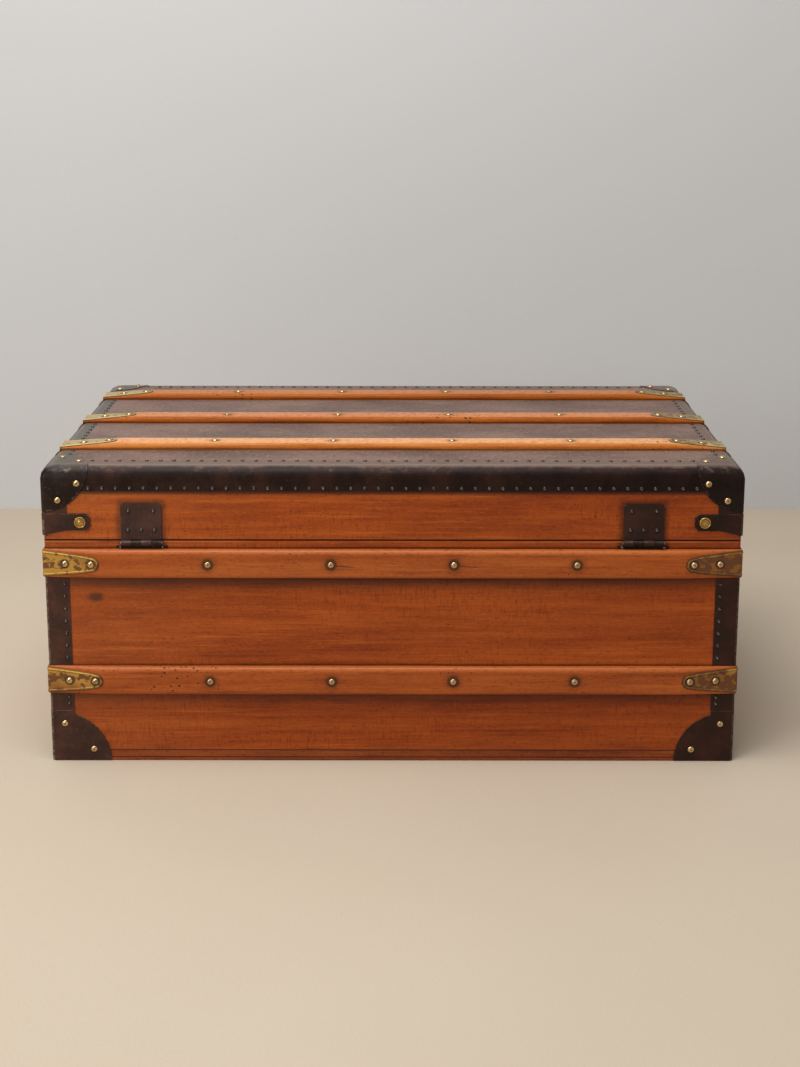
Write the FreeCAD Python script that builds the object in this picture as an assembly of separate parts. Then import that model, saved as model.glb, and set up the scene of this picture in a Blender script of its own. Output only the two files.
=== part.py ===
import FreeCAD, Part
import math
import os

# Slatted travelling trunk with a flat lid rolled at its edges. Sizes are in millimetres.
# X runs along its length, -Y is the hinge side, +Y the lock side, and Z = 0 is its underside.

# Case and lid boards
CASE_LENGTH = 896.0         # over the end boards
CASE_DEPTH = 532.0          # over the front and back boards
SEAM_Z = 303.0              # middle of the joint between case and lid
SEAM_GAP = 1.0
LID_HEIGHT = 97.0           # from the seam to the top of the lid's board
BOARD_T = 10.0
BOTTOM_T = 10.0
LID_TOP_T = 9.0
SKID_T = 5.0
SKID_W = 45.0
CORNER_R = 4.0              # upright corners
ROLL_R = 16.0               # rolled upper edges of the lid
CORNER_SWELL = 8.0          # how much the upright corner's radius grows over the roll
ROLL_STEPS = 4

# Lining, rim and tray
LINING_T = 1.2
RIM_T = 4.0
RIM_BELOW = 32.0
RIM_ABOVE = 11.0
RIM_EASE = 2.5              # how far the rim leans in above the seam
TRAY_PLAY = 2.0
TRAY_WALL_T = 7.0
TRAY_FLOOR_T = 4.0
TRAY_HEIGHT = 80.0
TRAY_DROP = 8.0             # top of the tray below the seam
TRAY_RAIL = 15.0            # square section
TRAY_GRIP_W = 110.0         # hand-hold in each end
TRAY_GRIP_H = 22.0
TRAY_GRIP_DROP = 18.0

# Sheet-metal edging
SHEET_T = 1.0               # edging, upright strips and the canvas beside them
STRIP_W = 32.0
EDGING_DROP = 32.0          # down the side, from the top of the lid's board
EDGING_IN = 30.0            # in over the top
CAP_T = 2.0
CAP_REACH = 62.0
SHOE_T = 1.4
SHOE_H = 70.5
SHOE_W = 79.0
SHOE_FLAT = 10.5
SHOE_CLEAR = 1.0            # lower edge off the floor
STRAP_T = 2.2
STRAP_REACH = 63.0
STRAP_LOW = 13.0            # lower edge above the seam at the nose
STRAP_H = 22.0
STRAP_FLARE = 7.0
STRAP_NOSE_CUT = 5.0

# Slats and their end clamps
SLAT_W = 38.0
SLAT_T = 11.0
SLAT_R = 5.0
SLAT_TIP = 3.0              # thickness at the ends, planed down under the clamps
LOWER_SLAT_Z = 114.5
UPPER_SLAT_Z = 273.0
TOP_SLAT_T = 9.0
TOP_SLAT_IN = 104.0         # middle of an outer slat of the lid, in from the board's face
TOP_SLAT_END = 9.0          # ends short of the edging's outer face
CLAMP_T = 1.0
CLAMP_REACH = 73.5
CLAMP_W = 34.0
CLAMP_NOSE_W = 20.0
CLAMP_NOSE_CUT = 6.0
CLAMP_TAB = 24.0
CLAMP_TAB_CUT = 5.0

# Nails and studs
NAIL_R = 4.4
NAIL_H = 2.6
NAIL_SIDES = 8
STUD_R = 7.5
STUD_TOP_R = 6.0
STUD_H = 2.2
SLAT_NAIL_COUNT = 4         # between a slat's clamps, evenly spaced
SLAT_NAIL_IN = 211.0        # the first and last, in from the ends of the case
CLAMP_NAILS = (29.0, 63.0)  # in from the end
TAB_NAIL = 12.0
CAP_NAILS = ((47.0, 24.0), (22.0, 46.0))
SHOE_NAILS = ((19.0, 52.5), (56.0, 16.7))
STUD_IN = 50.0

# Hinges
HINGE_IN = 126.0            # middle of a hinge, in from the end of the case
LEAF_W = 52.0
LEAF_T = 2.0
LEAF_H = 48.0
LEAF_CUT = 4.0              # corners of leaves and lock plates
LOWER_LEAF_W = 66.0
LOWER_LEAF_H = 34.0
HINGE_DROP = 3.0            # pin axis below the seam
KNUCKLE_R = 3.75
KNUCKLES = 4
KNUCKLE_GAP = 0.3
FACE_GAP = 0.35             # knuckle to board
PIN_R = 1.6
PIN_PROUD = 0.8
RUN_GAP = 0.05              # radial clearance of every turning fit
LEAF_LAP = 1.0              # how far a knuckle's neck overlaps its plate

# Lock and catches
CATCH_IN = 158.0            # middle of a catch, in from the end of the case
# widths and heights of the hasp, the case and the plate behind it
LOCK = {"hasp_w": 34.0, "hasp_h": 44.0, "hasp_cut": 9.0, "case_w": 66.0, "case_h": 52.0, "plate_w": 92.0}
CATCH = {"hasp_w": 18.0, "hasp_h": 40.0, "hasp_cut": 5.0, "case_w": 56.0, "case_h": 38.0, "plate_w": 60.0}
LATCH_AXIS_UP = 12.0        # hasp pin above the seam
LATCH_R = 2.8
LATCH_PIN_R = 1.2
LATCH_EAR = 5.6             # width of the ear at each side of a hasp
LATCH_LEAF_T = 1.6
LATCH_LEAF_H = 32.0
CASE_PROUD = 8.0            # lock and catch cases, from the board
CASE_DOWN = 3.5             # their tops below the seam
PLATE_T = 1.5
CASE_CUT = 8.0
CASE_EASE = 1.5
HASP_T = 2.0
HASP_GAP = 0.5              # hasp to case face
STAPLE_W = 5.0
STAPLE_H = 9.0
STAPLE_DOWN = 10.0          # its top below the top of the case
SLOT_SIDE = 1.0
SLOT_BACK = 0.8
BOLT_W = 3.6                # square section
BOLT_LENGTH = 22.0
BOLT_THROW = 9.0
BOLT_ENTRY = 3.0            # how far the far wall is bored for the bolt
BOLT_PLAY = 0.1
THUMB_W = 8.0
THUMB_H = 7.0
THUMB_T = 2.5
THUMB_NECK = 3.0
THUMB_EASE = 0.8
KEYHOLE_R = 2.4
KEYHOLE_SLOT = 2.4
KEYHOLE_H = 15.0            # its eye above the foot of the lock
KEYHOLE_FOOT = 6.5
SLAT_GAP = 1.5              # slat ends to the lock and catch plates

# End handles
HANDLE_Z = 196.0
HANDLE_SPAN = 144.0
HANDLE_DROP = 44.0
EYE_R = 6.0                 # also half the strap's thickness
EYE_W = 12.0
GRIP_W = 24.0               # at the middle of the strap
EYE_EASE = 3.0
HANDLE_PIN_R = 2.5
BRACKET_H = 34.0
BRACKET_T = 2.0
EAR_R = 5.0
EAR_CUT = 3.0
EAR_T = 3.0
EAR_GAP = 0.4
EYE_CLEAR = 1.5

# Places worked out from the sizes above
HALF_L = CASE_LENGTH / 2
HALF_D = CASE_DEPTH / 2
IN_L = HALF_L - BOARD_T
IN_D = HALF_D - BOARD_T
WALL_Z = SKID_T + BOTTOM_T
CASE_TOP = SEAM_Z - SEAM_GAP / 2
LID_BASE = SEAM_Z + SEAM_GAP / 2
LID_TOP = SEAM_Z + LID_HEIGHT
LID_UNDER = LID_TOP - LID_TOP_T
HINGE_X = HALF_L - HINGE_IN
HINGE_Y = -(HALF_D + FACE_GAP + KNUCKLE_R)
HINGE_Z = SEAM_Z - HINGE_DROP
CATCH_X = HALF_L - CATCH_IN
STRIP_TOP = UPPER_SLAT_Z + SLAT_W / 2
TOP_SLAT_PITCH = HALF_D - TOP_SLAT_IN
NAIL_REACH = HALF_L - SLAT_NAIL_IN
NAIL_PITCH = 2 * NAIL_REACH / (SLAT_NAIL_COUNT - 1)
SLAT_NAILS = [index * NAIL_PITCH - NAIL_REACH for index in range(SLAT_NAIL_COUNT)]
SIDES = (("left", -1), ("right", 1))
FACES = (("back", -1), ("front", 1))
TOUCH = 1e-6
OVER = 1.0                  # how far a cutter runs past what it cuts

V = FreeCAD.Vector
AXIS_X = V(1, 0, 0)
AXIS_Y = V(0, 1, 0)
AXIS_Z = V(0, 0, 1)


# ---------------------------------------------------------------- shape helpers
def block(x, y, z):
    """Box between three (low, high) pairs."""
    return Part.makeBox(x[1] - x[0], y[1] - y[0], z[1] - z[0], V(x[0], y[0], z[0]))


def centred(half_x, half_y, z):
    """Box centred on the Z axis between two heights."""
    return block((-half_x, half_x), (-half_y, half_y), z)


def rounded_face(corners):
    """Planar face through (point, radius) corners, each turned on its own radius."""
    turns = []
    for index, (point, radius) in enumerate(corners):
        if radius == 0:
            turns.append((point, None, point))
            continue
        back = (corners[index - 1][0] - point).normalize()
        ahead = (corners[(index + 1) % len(corners)][0] - point).normalize()
        half_angle = back.getAngle(ahead) / 2
        reach = radius / math.tan(half_angle)
        inward = (back + ahead).normalize()
        middle = point + inward * (radius / math.sin(half_angle) - radius)
        turns.append((point + back * reach, middle, point + ahead * reach))
    edges = []
    for index, (enter, middle, leave) in enumerate(turns):
        if middle is not None:
            edges.append(Part.Arc(enter, middle, leave).toShape())
        start_of_next = turns[(index + 1) % len(turns)][0]
        if (start_of_next - leave).Length > TOUCH:
            edges.append(Part.makeLine(leave, start_of_next))
    return Part.Face(Part.Wire(edges))


def polygon(points):
    """Planar face through its corner points."""
    return Part.Face(Part.makePolygon(points + points[:1]))


def tongue(half, near, far, cut, point):
    """Outline square at its near edge, with both corners of its far edge cut off."""
    turn = far - math.copysign(cut, far - near)
    return polygon([point(-half, near), point(half, near), point(half, turn),
                    point(half - cut, far), point(cut - half, far), point(-half, turn)])


def rectangle(half_x, half_y, z, radius):
    """Horizontal rectangle with rounded corners, centred on the Z axis."""
    return rounded_face([(V(-half_x, -half_y, z), radius), (V(half_x, -half_y, z), radius),
                         (V(half_x, half_y, z), radius), (V(-half_x, half_y, z), radius)])


def joined(shapes):
    """One solid out of overlapping or touching ones."""
    whole = shapes[0].multiFuse(shapes[1:]).removeSplitter()
    return whole.Solids[0] if len(whole.Solids) == 1 else whole


def group(shapes):
    """Separate solids that share one node."""
    return Part.makeCompound([solid for shape in shapes for solid in shape.Solids])


def mirrored(shape, normal):
    return shape.mirror(V(0, 0, 0), normal)


def rod(radius, x0, x1, y, z):
    """Round bar along X."""
    return Part.makeCylinder(radius, x1 - x0, V(x0, y, z), AXIS_X)


def facing(shape, position, normal):
    """Moves a shape made on the XY plane so that its +Z looks along a normal."""
    turn = FreeCAD.Rotation(AXIS_Z, normal)
    return shape.transformed(FreeCAD.Placement(position, turn).toMatrix())


def ring(radius, z):
    """Many-sided outline round the Z axis."""
    turns = [2 * math.pi * index / NAIL_SIDES for index in range(NAIL_SIDES)]
    points = [V(radius * math.cos(turn), radius * math.sin(turn), z) for turn in turns]
    return Part.makePolygon(points + points[:1])


def head(radius, height, top_radius=0.0):
    """Raised head on the XY plane, coming to a point unless it has a flat top."""
    top = ring(top_radius, height) if top_radius else Part.Vertex(0, 0, height)
    return Part.makeLoft([ring(radius, 0.0), top], True, True)


# ---------------------------------------------------------------- trunk envelopes
def upright_prism(offset, z0, z1):
    """Board outline grown by an offset, with its upright corners rounded."""
    face = rectangle(HALF_L + offset, HALF_D + offset, z0, CORNER_R + offset)
    return face.extrude(V(0, 0, z1 - z0))


def roll_profile(half, offset, z0, point):
    """End view of the lid: upright sides that roll over into a flat top."""
    side = half + offset
    top = LID_TOP + offset
    roll = ROLL_R + offset
    return rounded_face([(point(-side, z0), 0), (point(side, z0), 0),
                         (point(side, top), roll), (point(-side, top), roll)])


def lid_prism(offset, z0):
    """Lid outline grown by an offset, rolled along all four upper edges."""
    span_x = HALF_L + offset
    span_y = HALF_D + offset
    end_view = roll_profile(HALF_D, offset, z0, lambda a, z: V(-span_x, a, z))
    side_view = roll_profile(HALF_L, offset, z0, lambda a, z: V(a, -span_y, z))
    crossed = end_view.extrude(V(2 * span_x, 0, 0)).common(side_view.extrude(V(0, 2 * span_y, 0)))
    return crossed.common(upright_prism(offset, z0, LID_TOP + offset))


def pressed_prism(offset, z0):
    """Lid outline whose upright corners swell into the roll, as a pressed corner does."""
    roll = ROLL_R + offset
    roll_z = LID_TOP - ROLL_R
    sections = []
    for step in range(ROLL_STEPS + 1):
        angle = math.pi / 2 * step / ROLL_STEPS
        inset = roll * (1 - math.cos(angle))
        swell = CORNER_SWELL * (1 - math.cos(angle))
        sections.append(rectangle(HALF_L + offset - inset, HALF_D + offset - inset,
                                  roll_z + roll * math.sin(angle), CORNER_R + offset + swell).OuterWire)
    return joined([upright_prism(offset, z0, roll_z), Part.makeLoft(sections, True, True)])


def cap_region(side_x, side_y):
    """Ball centred on a lid corner: its rim draws the same arc on all three faces."""
    corner = V(side_x * (HALF_L + CAP_T), side_y * (HALF_D + CAP_T), LID_TOP + CAP_T)
    return Part.makeSphere(CAP_REACH, corner)


CORNERS = [(x, y) for _, y in FACES for _, x in SIDES]
CAP_REGIONS = [cap_region(x, y) for x, y in CORNERS]
PRESSED_INNER = pressed_prism(0.0, LID_BASE)
PRESSED_OUTER = pressed_prism(CAP_T, LID_BASE)


def corner_waste():
    """What the lid boards lose at their corners so that the pressed caps seat on them."""
    blanks = []
    for side_x, side_y in CORNERS:
        x = sorted((side_x * (HALF_L - CAP_REACH), side_x * (HALF_L + OVER)))
        y = sorted((side_y * (HALF_D - CAP_REACH), side_y * (HALF_D + OVER)))
        blanks.append(block(x, y, (LID_TOP - 2 * ROLL_R, LID_TOP + OVER)))
    return Part.makeCompound(blanks).cut(PRESSED_INNER)


LID_ENVELOPE = lid_prism(0.0, LID_BASE).cut(corner_waste())


# ---------------------------------------------------------------- boards
def wall_boards(envelope, z0, z1, names):
    """Back and front boards run full length, with the end boards between them."""
    ends = block((-HALF_L, HALF_L), (-IN_D, IN_D), (z0, z1))
    return {
        names[0]: envelope.common(block((-HALF_L, HALF_L), (-HALF_D, -IN_D), (z0, z1))),
        names[1]: envelope.common(block((-HALF_L, HALF_L), (IN_D, HALF_D), (z0, z1))),
        names[2]: envelope.common(ends.common(block((-HALF_L, -IN_L), (-IN_D, IN_D), (z0, z1)))),
        names[3]: envelope.common(ends.common(block((IN_L, HALF_L), (-IN_D, IN_D), (z0, z1)))),
    }


def base_parts():
    """Bottom board under the walls, and four skids butted round its underside."""
    outline = upright_prism(0.0, 0.0, WALL_Z)
    bottom = outline.common(centred(HALF_L, HALF_D, (SKID_T, WALL_Z)))
    skids = []
    for _, side in FACES:
        y = sorted((side * HALF_D, side * (HALF_D - SKID_W)))
        skids.append(outline.common(block((-HALF_L, HALF_L), y, (0.0, SKID_T))))
    for _, side in SIDES:
        x = sorted((side * HALF_L, side * (HALF_L - SKID_W)))
        inner = HALF_D - SKID_W
        skids.append(block(x, (-inner, inner), (0.0, SKID_T)))
    return {"bottom_board": bottom, "base_skids": group(skids)}


# ---------------------------------------------------------------- lining, rim and tray
def open_box(half_x, half_y, z, wall, floor):
    """Tray shape: walls round a floor, open at the top."""
    outer = centred(half_x, half_y, z)
    return outer.cut(centred(half_x - wall, half_y - wall, (z[0] + floor, z[1] + OVER)))


def lining_parts():
    lining_top = CASE_TOP - RIM_BELOW
    case_lining = open_box(IN_L, IN_D, (WALL_Z, lining_top), LINING_T, LINING_T)
    lid_low = LID_BASE + RIM_ABOVE + RIM_T
    hollow = centred(IN_L - LINING_T, IN_D - LINING_T, (lid_low - OVER, LID_UNDER - LINING_T))
    lid_lining = centred(IN_L, IN_D, (lid_low, LID_UNDER)).cut(hollow)
    return {"case_lining": case_lining, "lid_lining": lid_lining}


def rim():
    """Fillet inside the mouth of the case that the lid drops over, in four butted strips."""
    bottom = CASE_TOP - RIM_BELOW
    crest = CASE_TOP + RIM_ABOVE

    def strip(half, span, point):
        profile = [point(half, bottom), point(half, CASE_TOP), point(half - RIM_EASE / 2, CASE_TOP),
                   point(half - RIM_EASE, crest), point(half - RIM_T, crest), point(half - RIM_T, bottom)]
        face = Part.Face(Part.makePolygon(profile + profile[:1]))
        return face.extrude(span)

    long_strip = strip(IN_D, V(2 * (IN_L - RIM_EASE), 0, 0), lambda a, z: V(-(IN_L - RIM_EASE), -a, z))
    inner = IN_D - RIM_T
    short_strip = strip(IN_L, V(0, 2 * inner, 0), lambda a, z: V(-a, -inner, z))
    return group([long_strip, mirrored(long_strip, AXIS_Y), short_strip, mirrored(short_strip, AXIS_X)])


def tray_parts():
    """Lift-out tray on two rails, with a dipped hand-hold in each end."""
    half_x = IN_L - RIM_T - TRAY_PLAY
    half_y = IN_D - RIM_T - TRAY_PLAY
    top = SEAM_Z - TRAY_DROP
    low = top - TRAY_HEIGHT
    frame = centred(half_x, half_y, (low, top))
    frame = frame.cut(centred(half_x - TRAY_WALL_T, half_y - TRAY_WALL_T, (low - OVER, top + OVER)))
    floor = centred(half_x - TRAY_WALL_T / 2, half_y - TRAY_WALL_T / 2, (low, low + TRAY_FLOOR_T))
    grip_z = top - TRAY_GRIP_DROP
    half = TRAY_GRIP_W / 2
    corners = ((-half, grip_z - TRAY_GRIP_H), (half, grip_z - TRAY_GRIP_H), (half, grip_z), (-half, grip_z))
    hole = rounded_face([(V(-half_x - OVER, y, z), TRAY_GRIP_H / 2) for y, z in corners])
    frame = frame.cut(hole.extrude(V(2 * (half_x + OVER), 0, 0))).cut(floor)
    rails = []
    for _, side in SIDES:
        wall = IN_L - LINING_T
        x = sorted((side * wall, side * (wall - TRAY_RAIL)))
        rails.append(block(x, (-IN_D + LINING_T, IN_D - LINING_T), (low - TRAY_RAIL, low)))
    return {"tray_frame": frame, "tray_floor": floor, "tray_rails": group(rails)}


# ---------------------------------------------------------------- sheet edging
def strip_region(z0, z1):
    """Uprights that keep only the sheet within a strip's width of each corner."""
    posts = []
    for side_x, side_y in CORNERS:
        x = sorted((side_x * (HALF_L + SHEET_T - STRIP_W), side_x * (HALF_L + 2 * SHEET_T)))
        y = sorted((side_y * (HALF_D + SHEET_T - STRIP_W), side_y * (HALF_D + 2 * SHEET_T)))
        posts.append(block(x, y, (z0, z1)))
    return Part.makeCompound(posts)


def corner_strips():
    """Folded strips up the corners of the case, from the shoes to the top of the upper slats."""
    sheet = upright_prism(SHEET_T, SHOE_H, STRIP_TOP).cut(upright_prism(0.0, SHOE_H, STRIP_TOP))
    return group([sheet.common(strip_region(SHOE_H, STRIP_TOP))])


def lid_corner_strips():
    """Short folded strips between the straps and the caps."""
    low = SEAM_Z + STRAP_LOW + STRAP_H
    high = LID_TOP - ROLL_R
    sheet = upright_prism(SHEET_T, low, high).cut(upright_prism(0.0, low, high))
    kept = sheet.common(strip_region(low, high))
    for region in CAP_REGIONS:
        kept = kept.cut(region)
    return group([kept])


def corner_shoes():
    """Pressed shoes folded round the bottom corners, each wall cut to an arc."""
    radius = SHOE_W - SHOE_FLAT
    skin = upright_prism(SHOE_T, SHOE_CLEAR, SHOE_H).cut(upright_prism(0.0, SHOE_CLEAR, SHOE_H))
    edge_x = HALF_L + SHOE_T
    edge_y = HALF_D + SHOE_T
    wrap = CORNER_R + SHOE_T + OVER
    shoes = []
    for side_x, side_y in CORNERS:
        y = sorted((side_y * (edge_y - wrap), side_y * (edge_y + OVER)))
        disc = Part.makeCylinder(radius, y[1] - y[0], V(side_x * (edge_x - SHOE_FLAT), y[0], 0), AXIS_Y)
        x = sorted((side_x * (edge_x - STRIP_W), side_x * (edge_x + OVER)))
        long_wall = disc.fuse(block(x, y, (0, SHOE_H)))
        x = sorted((side_x * (edge_x - wrap), side_x * (edge_x + OVER)))
        disc = Part.makeCylinder(radius, x[1] - x[0], V(x[0], side_y * (edge_y - SHOE_FLAT), 0), AXIS_X)
        y = sorted((side_y * (edge_y - STRIP_W), side_y * (edge_y + OVER)))
        short_wall = disc.fuse(block(x, y, (0, SHOE_H)))
        shoes.append(skin.common(long_wall.fuse(short_wall)))
    return group(shoes)


def lid_edging():
    """Sheet rolled over each upper edge of the lid and trimmed round the caps."""
    parts = {}
    inner_top = LID_TOP
    outer_top = LID_TOP + SHEET_T
    low = LID_TOP - EDGING_DROP

    def roll(half, point):
        outer = half + SHEET_T
        lap = outer - EDGING_IN
        return rounded_face([(point(outer, low), 0), (point(outer, outer_top), ROLL_R + SHEET_T),
                             (point(lap, outer_top), 0), (point(lap, inner_top), 0),
                             (point(half, inner_top), ROLL_R), (point(half, low), 0)])

    reach_x = HALF_L - ROLL_R
    reach_y = HALF_D - ROLL_R
    for name, side in FACES:
        face = roll(HALF_D, lambda a, z: V(-reach_x, side * a, z))
        parts["lid_edging_" + name] = face.extrude(V(2 * reach_x, 0, 0))
    for name, side in SIDES:
        face = roll(HALF_L, lambda a, z: V(side * a, -reach_y, z))
        parts["lid_edging_" + name] = face.extrude(V(0, 2 * reach_y, 0))
    for name in parts:
        for region in CAP_REGIONS:
            parts[name] = parts[name].cut(region)
    return parts


def lid_caps():
    """Pressed corner caps, rolled three ways and cut to one ball."""
    skin = PRESSED_OUTER.cut(PRESSED_INNER)
    return group([skin.common(region) for region in CAP_REGIONS])


def lid_canvas():
    lap_x = HALF_L + SHEET_T - EDGING_IN
    lap_y = HALF_D + SHEET_T - EDGING_IN
    canvas = centred(lap_x, lap_y, (LID_TOP, LID_TOP + SHEET_T))
    for region in CAP_REGIONS:
        canvas = canvas.cut(region)
    return canvas


def lid_straps():
    """Straps folded round the lid's lower corners, flaring down towards the fold."""
    low = SEAM_Z + STRAP_LOW
    high = low + STRAP_H
    skin = upright_prism(STRAP_T, LID_BASE, high).cut(upright_prism(0.0, LID_BASE, high))

    def outline(reach, point):
        nose = reach - STRAP_NOSE_CUT
        return polygon([point(0, low - STRAP_FLARE), point(0, high), point(nose, high),
                        point(reach, high - STRAP_NOSE_CUT), point(reach, low + STRAP_NOSE_CUT),
                        point(nose, low), point(reach / 2, low)])

    edge_x = HALF_L + STRAP_T
    edge_y = HALF_D + STRAP_T
    wrap = CORNER_R + STRAP_T + OVER
    straps = []
    for side_x, side_y in CORNERS:
        face_y = side_y * (edge_y + OVER)
        along_x = outline(STRAP_REACH, lambda a, z: V(side_x * (edge_x + TOUCH - a), face_y, z))
        face_x = side_x * (edge_x + OVER)
        along_y = outline(STRAP_REACH, lambda a, z: V(face_x, side_y * (edge_y + TOUCH - a), z))
        long_wall = along_x.extrude(V(0, -side_y * (wrap + OVER), 0))
        short_wall = along_y.extrude(V(-side_x * (wrap + OVER), 0, 0))
        straps.append(skin.common(long_wall.fuse(short_wall)))
    return group(straps)


# ---------------------------------------------------------------- slats and clamps
def slat_section(width, thickness, radius, x, floor):
    """End view of a slat lying on the XY plane: square below, rounded above."""
    half = width / 2
    return rounded_face([(V(x, -half, floor), 0), (V(x, half, floor), 0),
                         (V(x, half, thickness), radius), (V(x, -half, thickness), radius)])


def slat_end(grow, end, thickness):
    """Stretch at the +X end of a slat that tapers to its tip, grown all round for a clamp."""
    sections = []
    for x, high in ((end - CLAMP_REACH, thickness), (end, SLAT_TIP)):
        radius = SLAT_R * high / thickness + grow
        sections.append(slat_section(SLAT_W + 2 * grow, high + grow, radius, x, 0.0).OuterWire)
    return Part.makeLoft(sections, True, True)


def slat(end, thickness):
    """Slat along the X axis, planed down towards both ends."""
    straight = end - CLAMP_REACH
    middle = slat_section(SLAT_W, thickness, SLAT_R, -straight, 0.0).extrude(V(2 * straight, 0, 0))
    right = slat_end(0.0, end, thickness)
    return joined([middle, right, mirrored(right, AXIS_X)])


def clamp_outline(end):
    """Plan of a clamp: full width at the slat's end, drawn in to a blunt nose."""
    nose_x = end - CLAMP_REACH
    half = CLAMP_W / 2
    nose = CLAMP_NOSE_W / 2
    return polygon([V(end, -half, 0), V(end, half, 0),
                    V(nose_x + CLAMP_NOSE_CUT, nose, 0), V(nose_x, nose - CLAMP_NOSE_CUT, 0),
                    V(nose_x, CLAMP_NOSE_CUT - nose, 0), V(nose_x + CLAMP_NOSE_CUT, -nose, 0)])


def clamp(end, thickness, tab):
    """Clamp over the +X end of a slat, with its tab already in place."""
    skin = slat_end(CLAMP_T, end, thickness).cut(slat_end(0.0, end, thickness))
    plan = clamp_outline(end).extrude(V(0, 0, thickness + CLAMP_T))
    half = CLAMP_W / 2
    plate = block((end, end + CLAMP_T), (-half, half), (0.0, SLAT_TIP + CLAMP_T))
    return joined([skin.common(plan), plate, tab])


def side_tab(end):
    """Tab that turns down over the end board."""
    face = tongue(CLAMP_W / 2, 0.0, -CLAMP_TAB, CLAMP_TAB_CUT, lambda a, z: V(end, a, z))
    return face.extrude(V(CLAMP_T, 0, 0))


def top_tab(end):
    """Tab that follows the lid's roll from the slat's end down to the end board."""
    outer = HALF_L + SHEET_T
    low = -EDGING_DROP + SLAT_R
    half = CLAMP_W / 2
    radius = ROLL_R + SHEET_T

    def under(grow):
        x = outer + grow
        return rounded_face([(V(0, -half, low), 0), (V(x, -half, low), 0),
                             (V(x, -half, grow), radius + grow), (V(0, -half, grow), 0)])

    sheet = under(CLAMP_T).cut(under(0.0)).extrude(V(0, CLAMP_W, 0))
    sheet = sheet.common(block((end + CLAMP_T / 2, outer + 2 * CLAMP_T), (-half, half), (low, CLAMP_T)))
    roll_drop = radius - math.sqrt(radius ** 2 - (end - (outer - radius)) ** 2)
    riser = block((end, end + CLAMP_T), (-half, half), (-roll_drop - 2 * CLAMP_T, TOUCH))
    riser = riser.cut(under(0.0).extrude(V(0, CLAMP_W, 0)))
    return joined([sheet, riser])


def facing_side(shape, side, z):
    turned = shape.copy()
    turned.rotate(V(0, 0, 0), AXIS_X, -90 * side)
    turned.translate(V(0, side * HALF_D, z))
    return turned


def slat_parts(fittings):
    """Slats on the back, the front and the lid, housed over the edging and round the fittings."""
    end = HALF_L + SHEET_T
    whole = slat(end, SLAT_T)
    right = clamp(end, SLAT_T, side_tab(end))
    pair = [right, mirrored(right, AXIS_X)]
    strips = corner_strips()
    parts = {}
    clamps = []
    for name, side in FACES:
        for level, z in (("lower", LOWER_SLAT_Z), ("upper", UPPER_SLAT_Z)):
            placed = facing_side(whole, side, z).cut(strips).cut(fittings[name])
            parts["slat_%s_%s" % (name, level)] = group([placed])
            clamps += [facing_side(one, side, z) for one in pair]
    top_end = end - TOP_SLAT_END
    top_slat = slat(top_end, TOP_SLAT_T)
    top_right = clamp(top_end, TOP_SLAT_T, top_tab(top_end))
    top_clamps = []
    for index, name in enumerate(("back", "middle", "front")):
        place = V(0, (index - 1) * TOP_SLAT_PITCH, LID_TOP + SHEET_T)
        parts["lid_slat_" + name] = top_slat.translated(place)
        for one in (top_right, mirrored(top_right, AXIS_X)):
            top_clamps.append(one.translated(place))
    parts["case_clamps"] = group(clamps)
    parts["lid_clamps"] = group(top_clamps)
    return parts


# ---------------------------------------------------------------- hinges
def knuckle_spans():
    """Spans along the pin, taken in turn by the lid's leaf and the case's leaf."""
    pitch = LEAF_W / KNUCKLES
    lows = [-LEAF_W / 2 + index * pitch for index in range(KNUCKLES)]
    return [(low + KNUCKLE_GAP / 2, low + pitch - KNUCKLE_GAP / 2) for low in lows]


def hinge_leaf(width, near, far, spans, bore, gap):
    """Plate on the back board with knuckles rolled round the pin at their spans."""
    half = width / 2
    plate = tongue(half, near, far, LEAF_CUT, lambda a, z: V(a, -HALF_D, z))
    pieces = [plate.extrude(V(0, -LEAF_T, 0))]
    neck_z = sorted((HINGE_Z, near + math.copysign(LEAF_LAP, far - near)))
    for low, high in spans:
        pieces.append(block((low, high), (-HALF_D - LEAF_T, -HALF_D - gap), neck_z))
        pieces.append(rod(KNUCKLE_R, low, high, HINGE_Y, HINGE_Z))
    return joined(pieces).cut(rod(bore, -half, half, HINGE_Y, HINGE_Z))


def hinge_parts():
    spans = knuckle_spans()
    reach = KNUCKLE_R + FACE_GAP
    near = HINGE_Z + reach
    upper = hinge_leaf(LEAF_W, near, near + LEAF_H, spans[0::2], PIN_R + RUN_GAP, FACE_GAP)
    near = HINGE_Z - reach
    lower = hinge_leaf(LOWER_LEAF_W, near, near - LOWER_LEAF_H, spans[1::2], PIN_R, 0.0)
    half_pin = LEAF_W / 2 + PIN_PROUD
    pin = rod(PIN_R, -half_pin, half_pin, HINGE_Y, HINGE_Z)
    places = [V(side * HINGE_X, 0, 0) for _, side in SIDES]
    return {"hinge_leaves_lid": group([upper.translated(place) for place in places]),
            "hinge_leaves_case": group([lower.translated(place) for place in places]),
            "hinge_pins": group([pin.translated(place) for place in places])}


# ---------------------------------------------------------------- lock and catches
LATCH_Y = HALF_D + FACE_GAP + LATCH_R
LATCH_Z = SEAM_Z + LATCH_AXIS_UP
LATCH_TOP = SEAM_Z - CASE_DOWN
LATCH_FACE = HALF_D + CASE_PROUD
HASP_Y = LATCH_FACE + HASP_GAP
STAPLE_Y = HALF_D + PLATE_T + SLOT_BACK
STAPLE_TOP = LATCH_TOP - STAPLE_DOWN
BOLT_Y = (STAPLE_Y + HASP_Y) / 2
BOLT_Z = STAPLE_TOP - STAPLE_H / 2
SLOT_HALF = STAPLE_W / 2 + SLOT_SIDE
BOLT_START = SLOT_HALF + KNUCKLE_GAP
BOLT_END = BOLT_START + BOLT_LENGTH
THUMB_X = BOLT_END - THUMB_NECK / 2 - SLOT_SIDE
STAPLE_LOW = STAPLE_TOP - STAPLE_H


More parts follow.
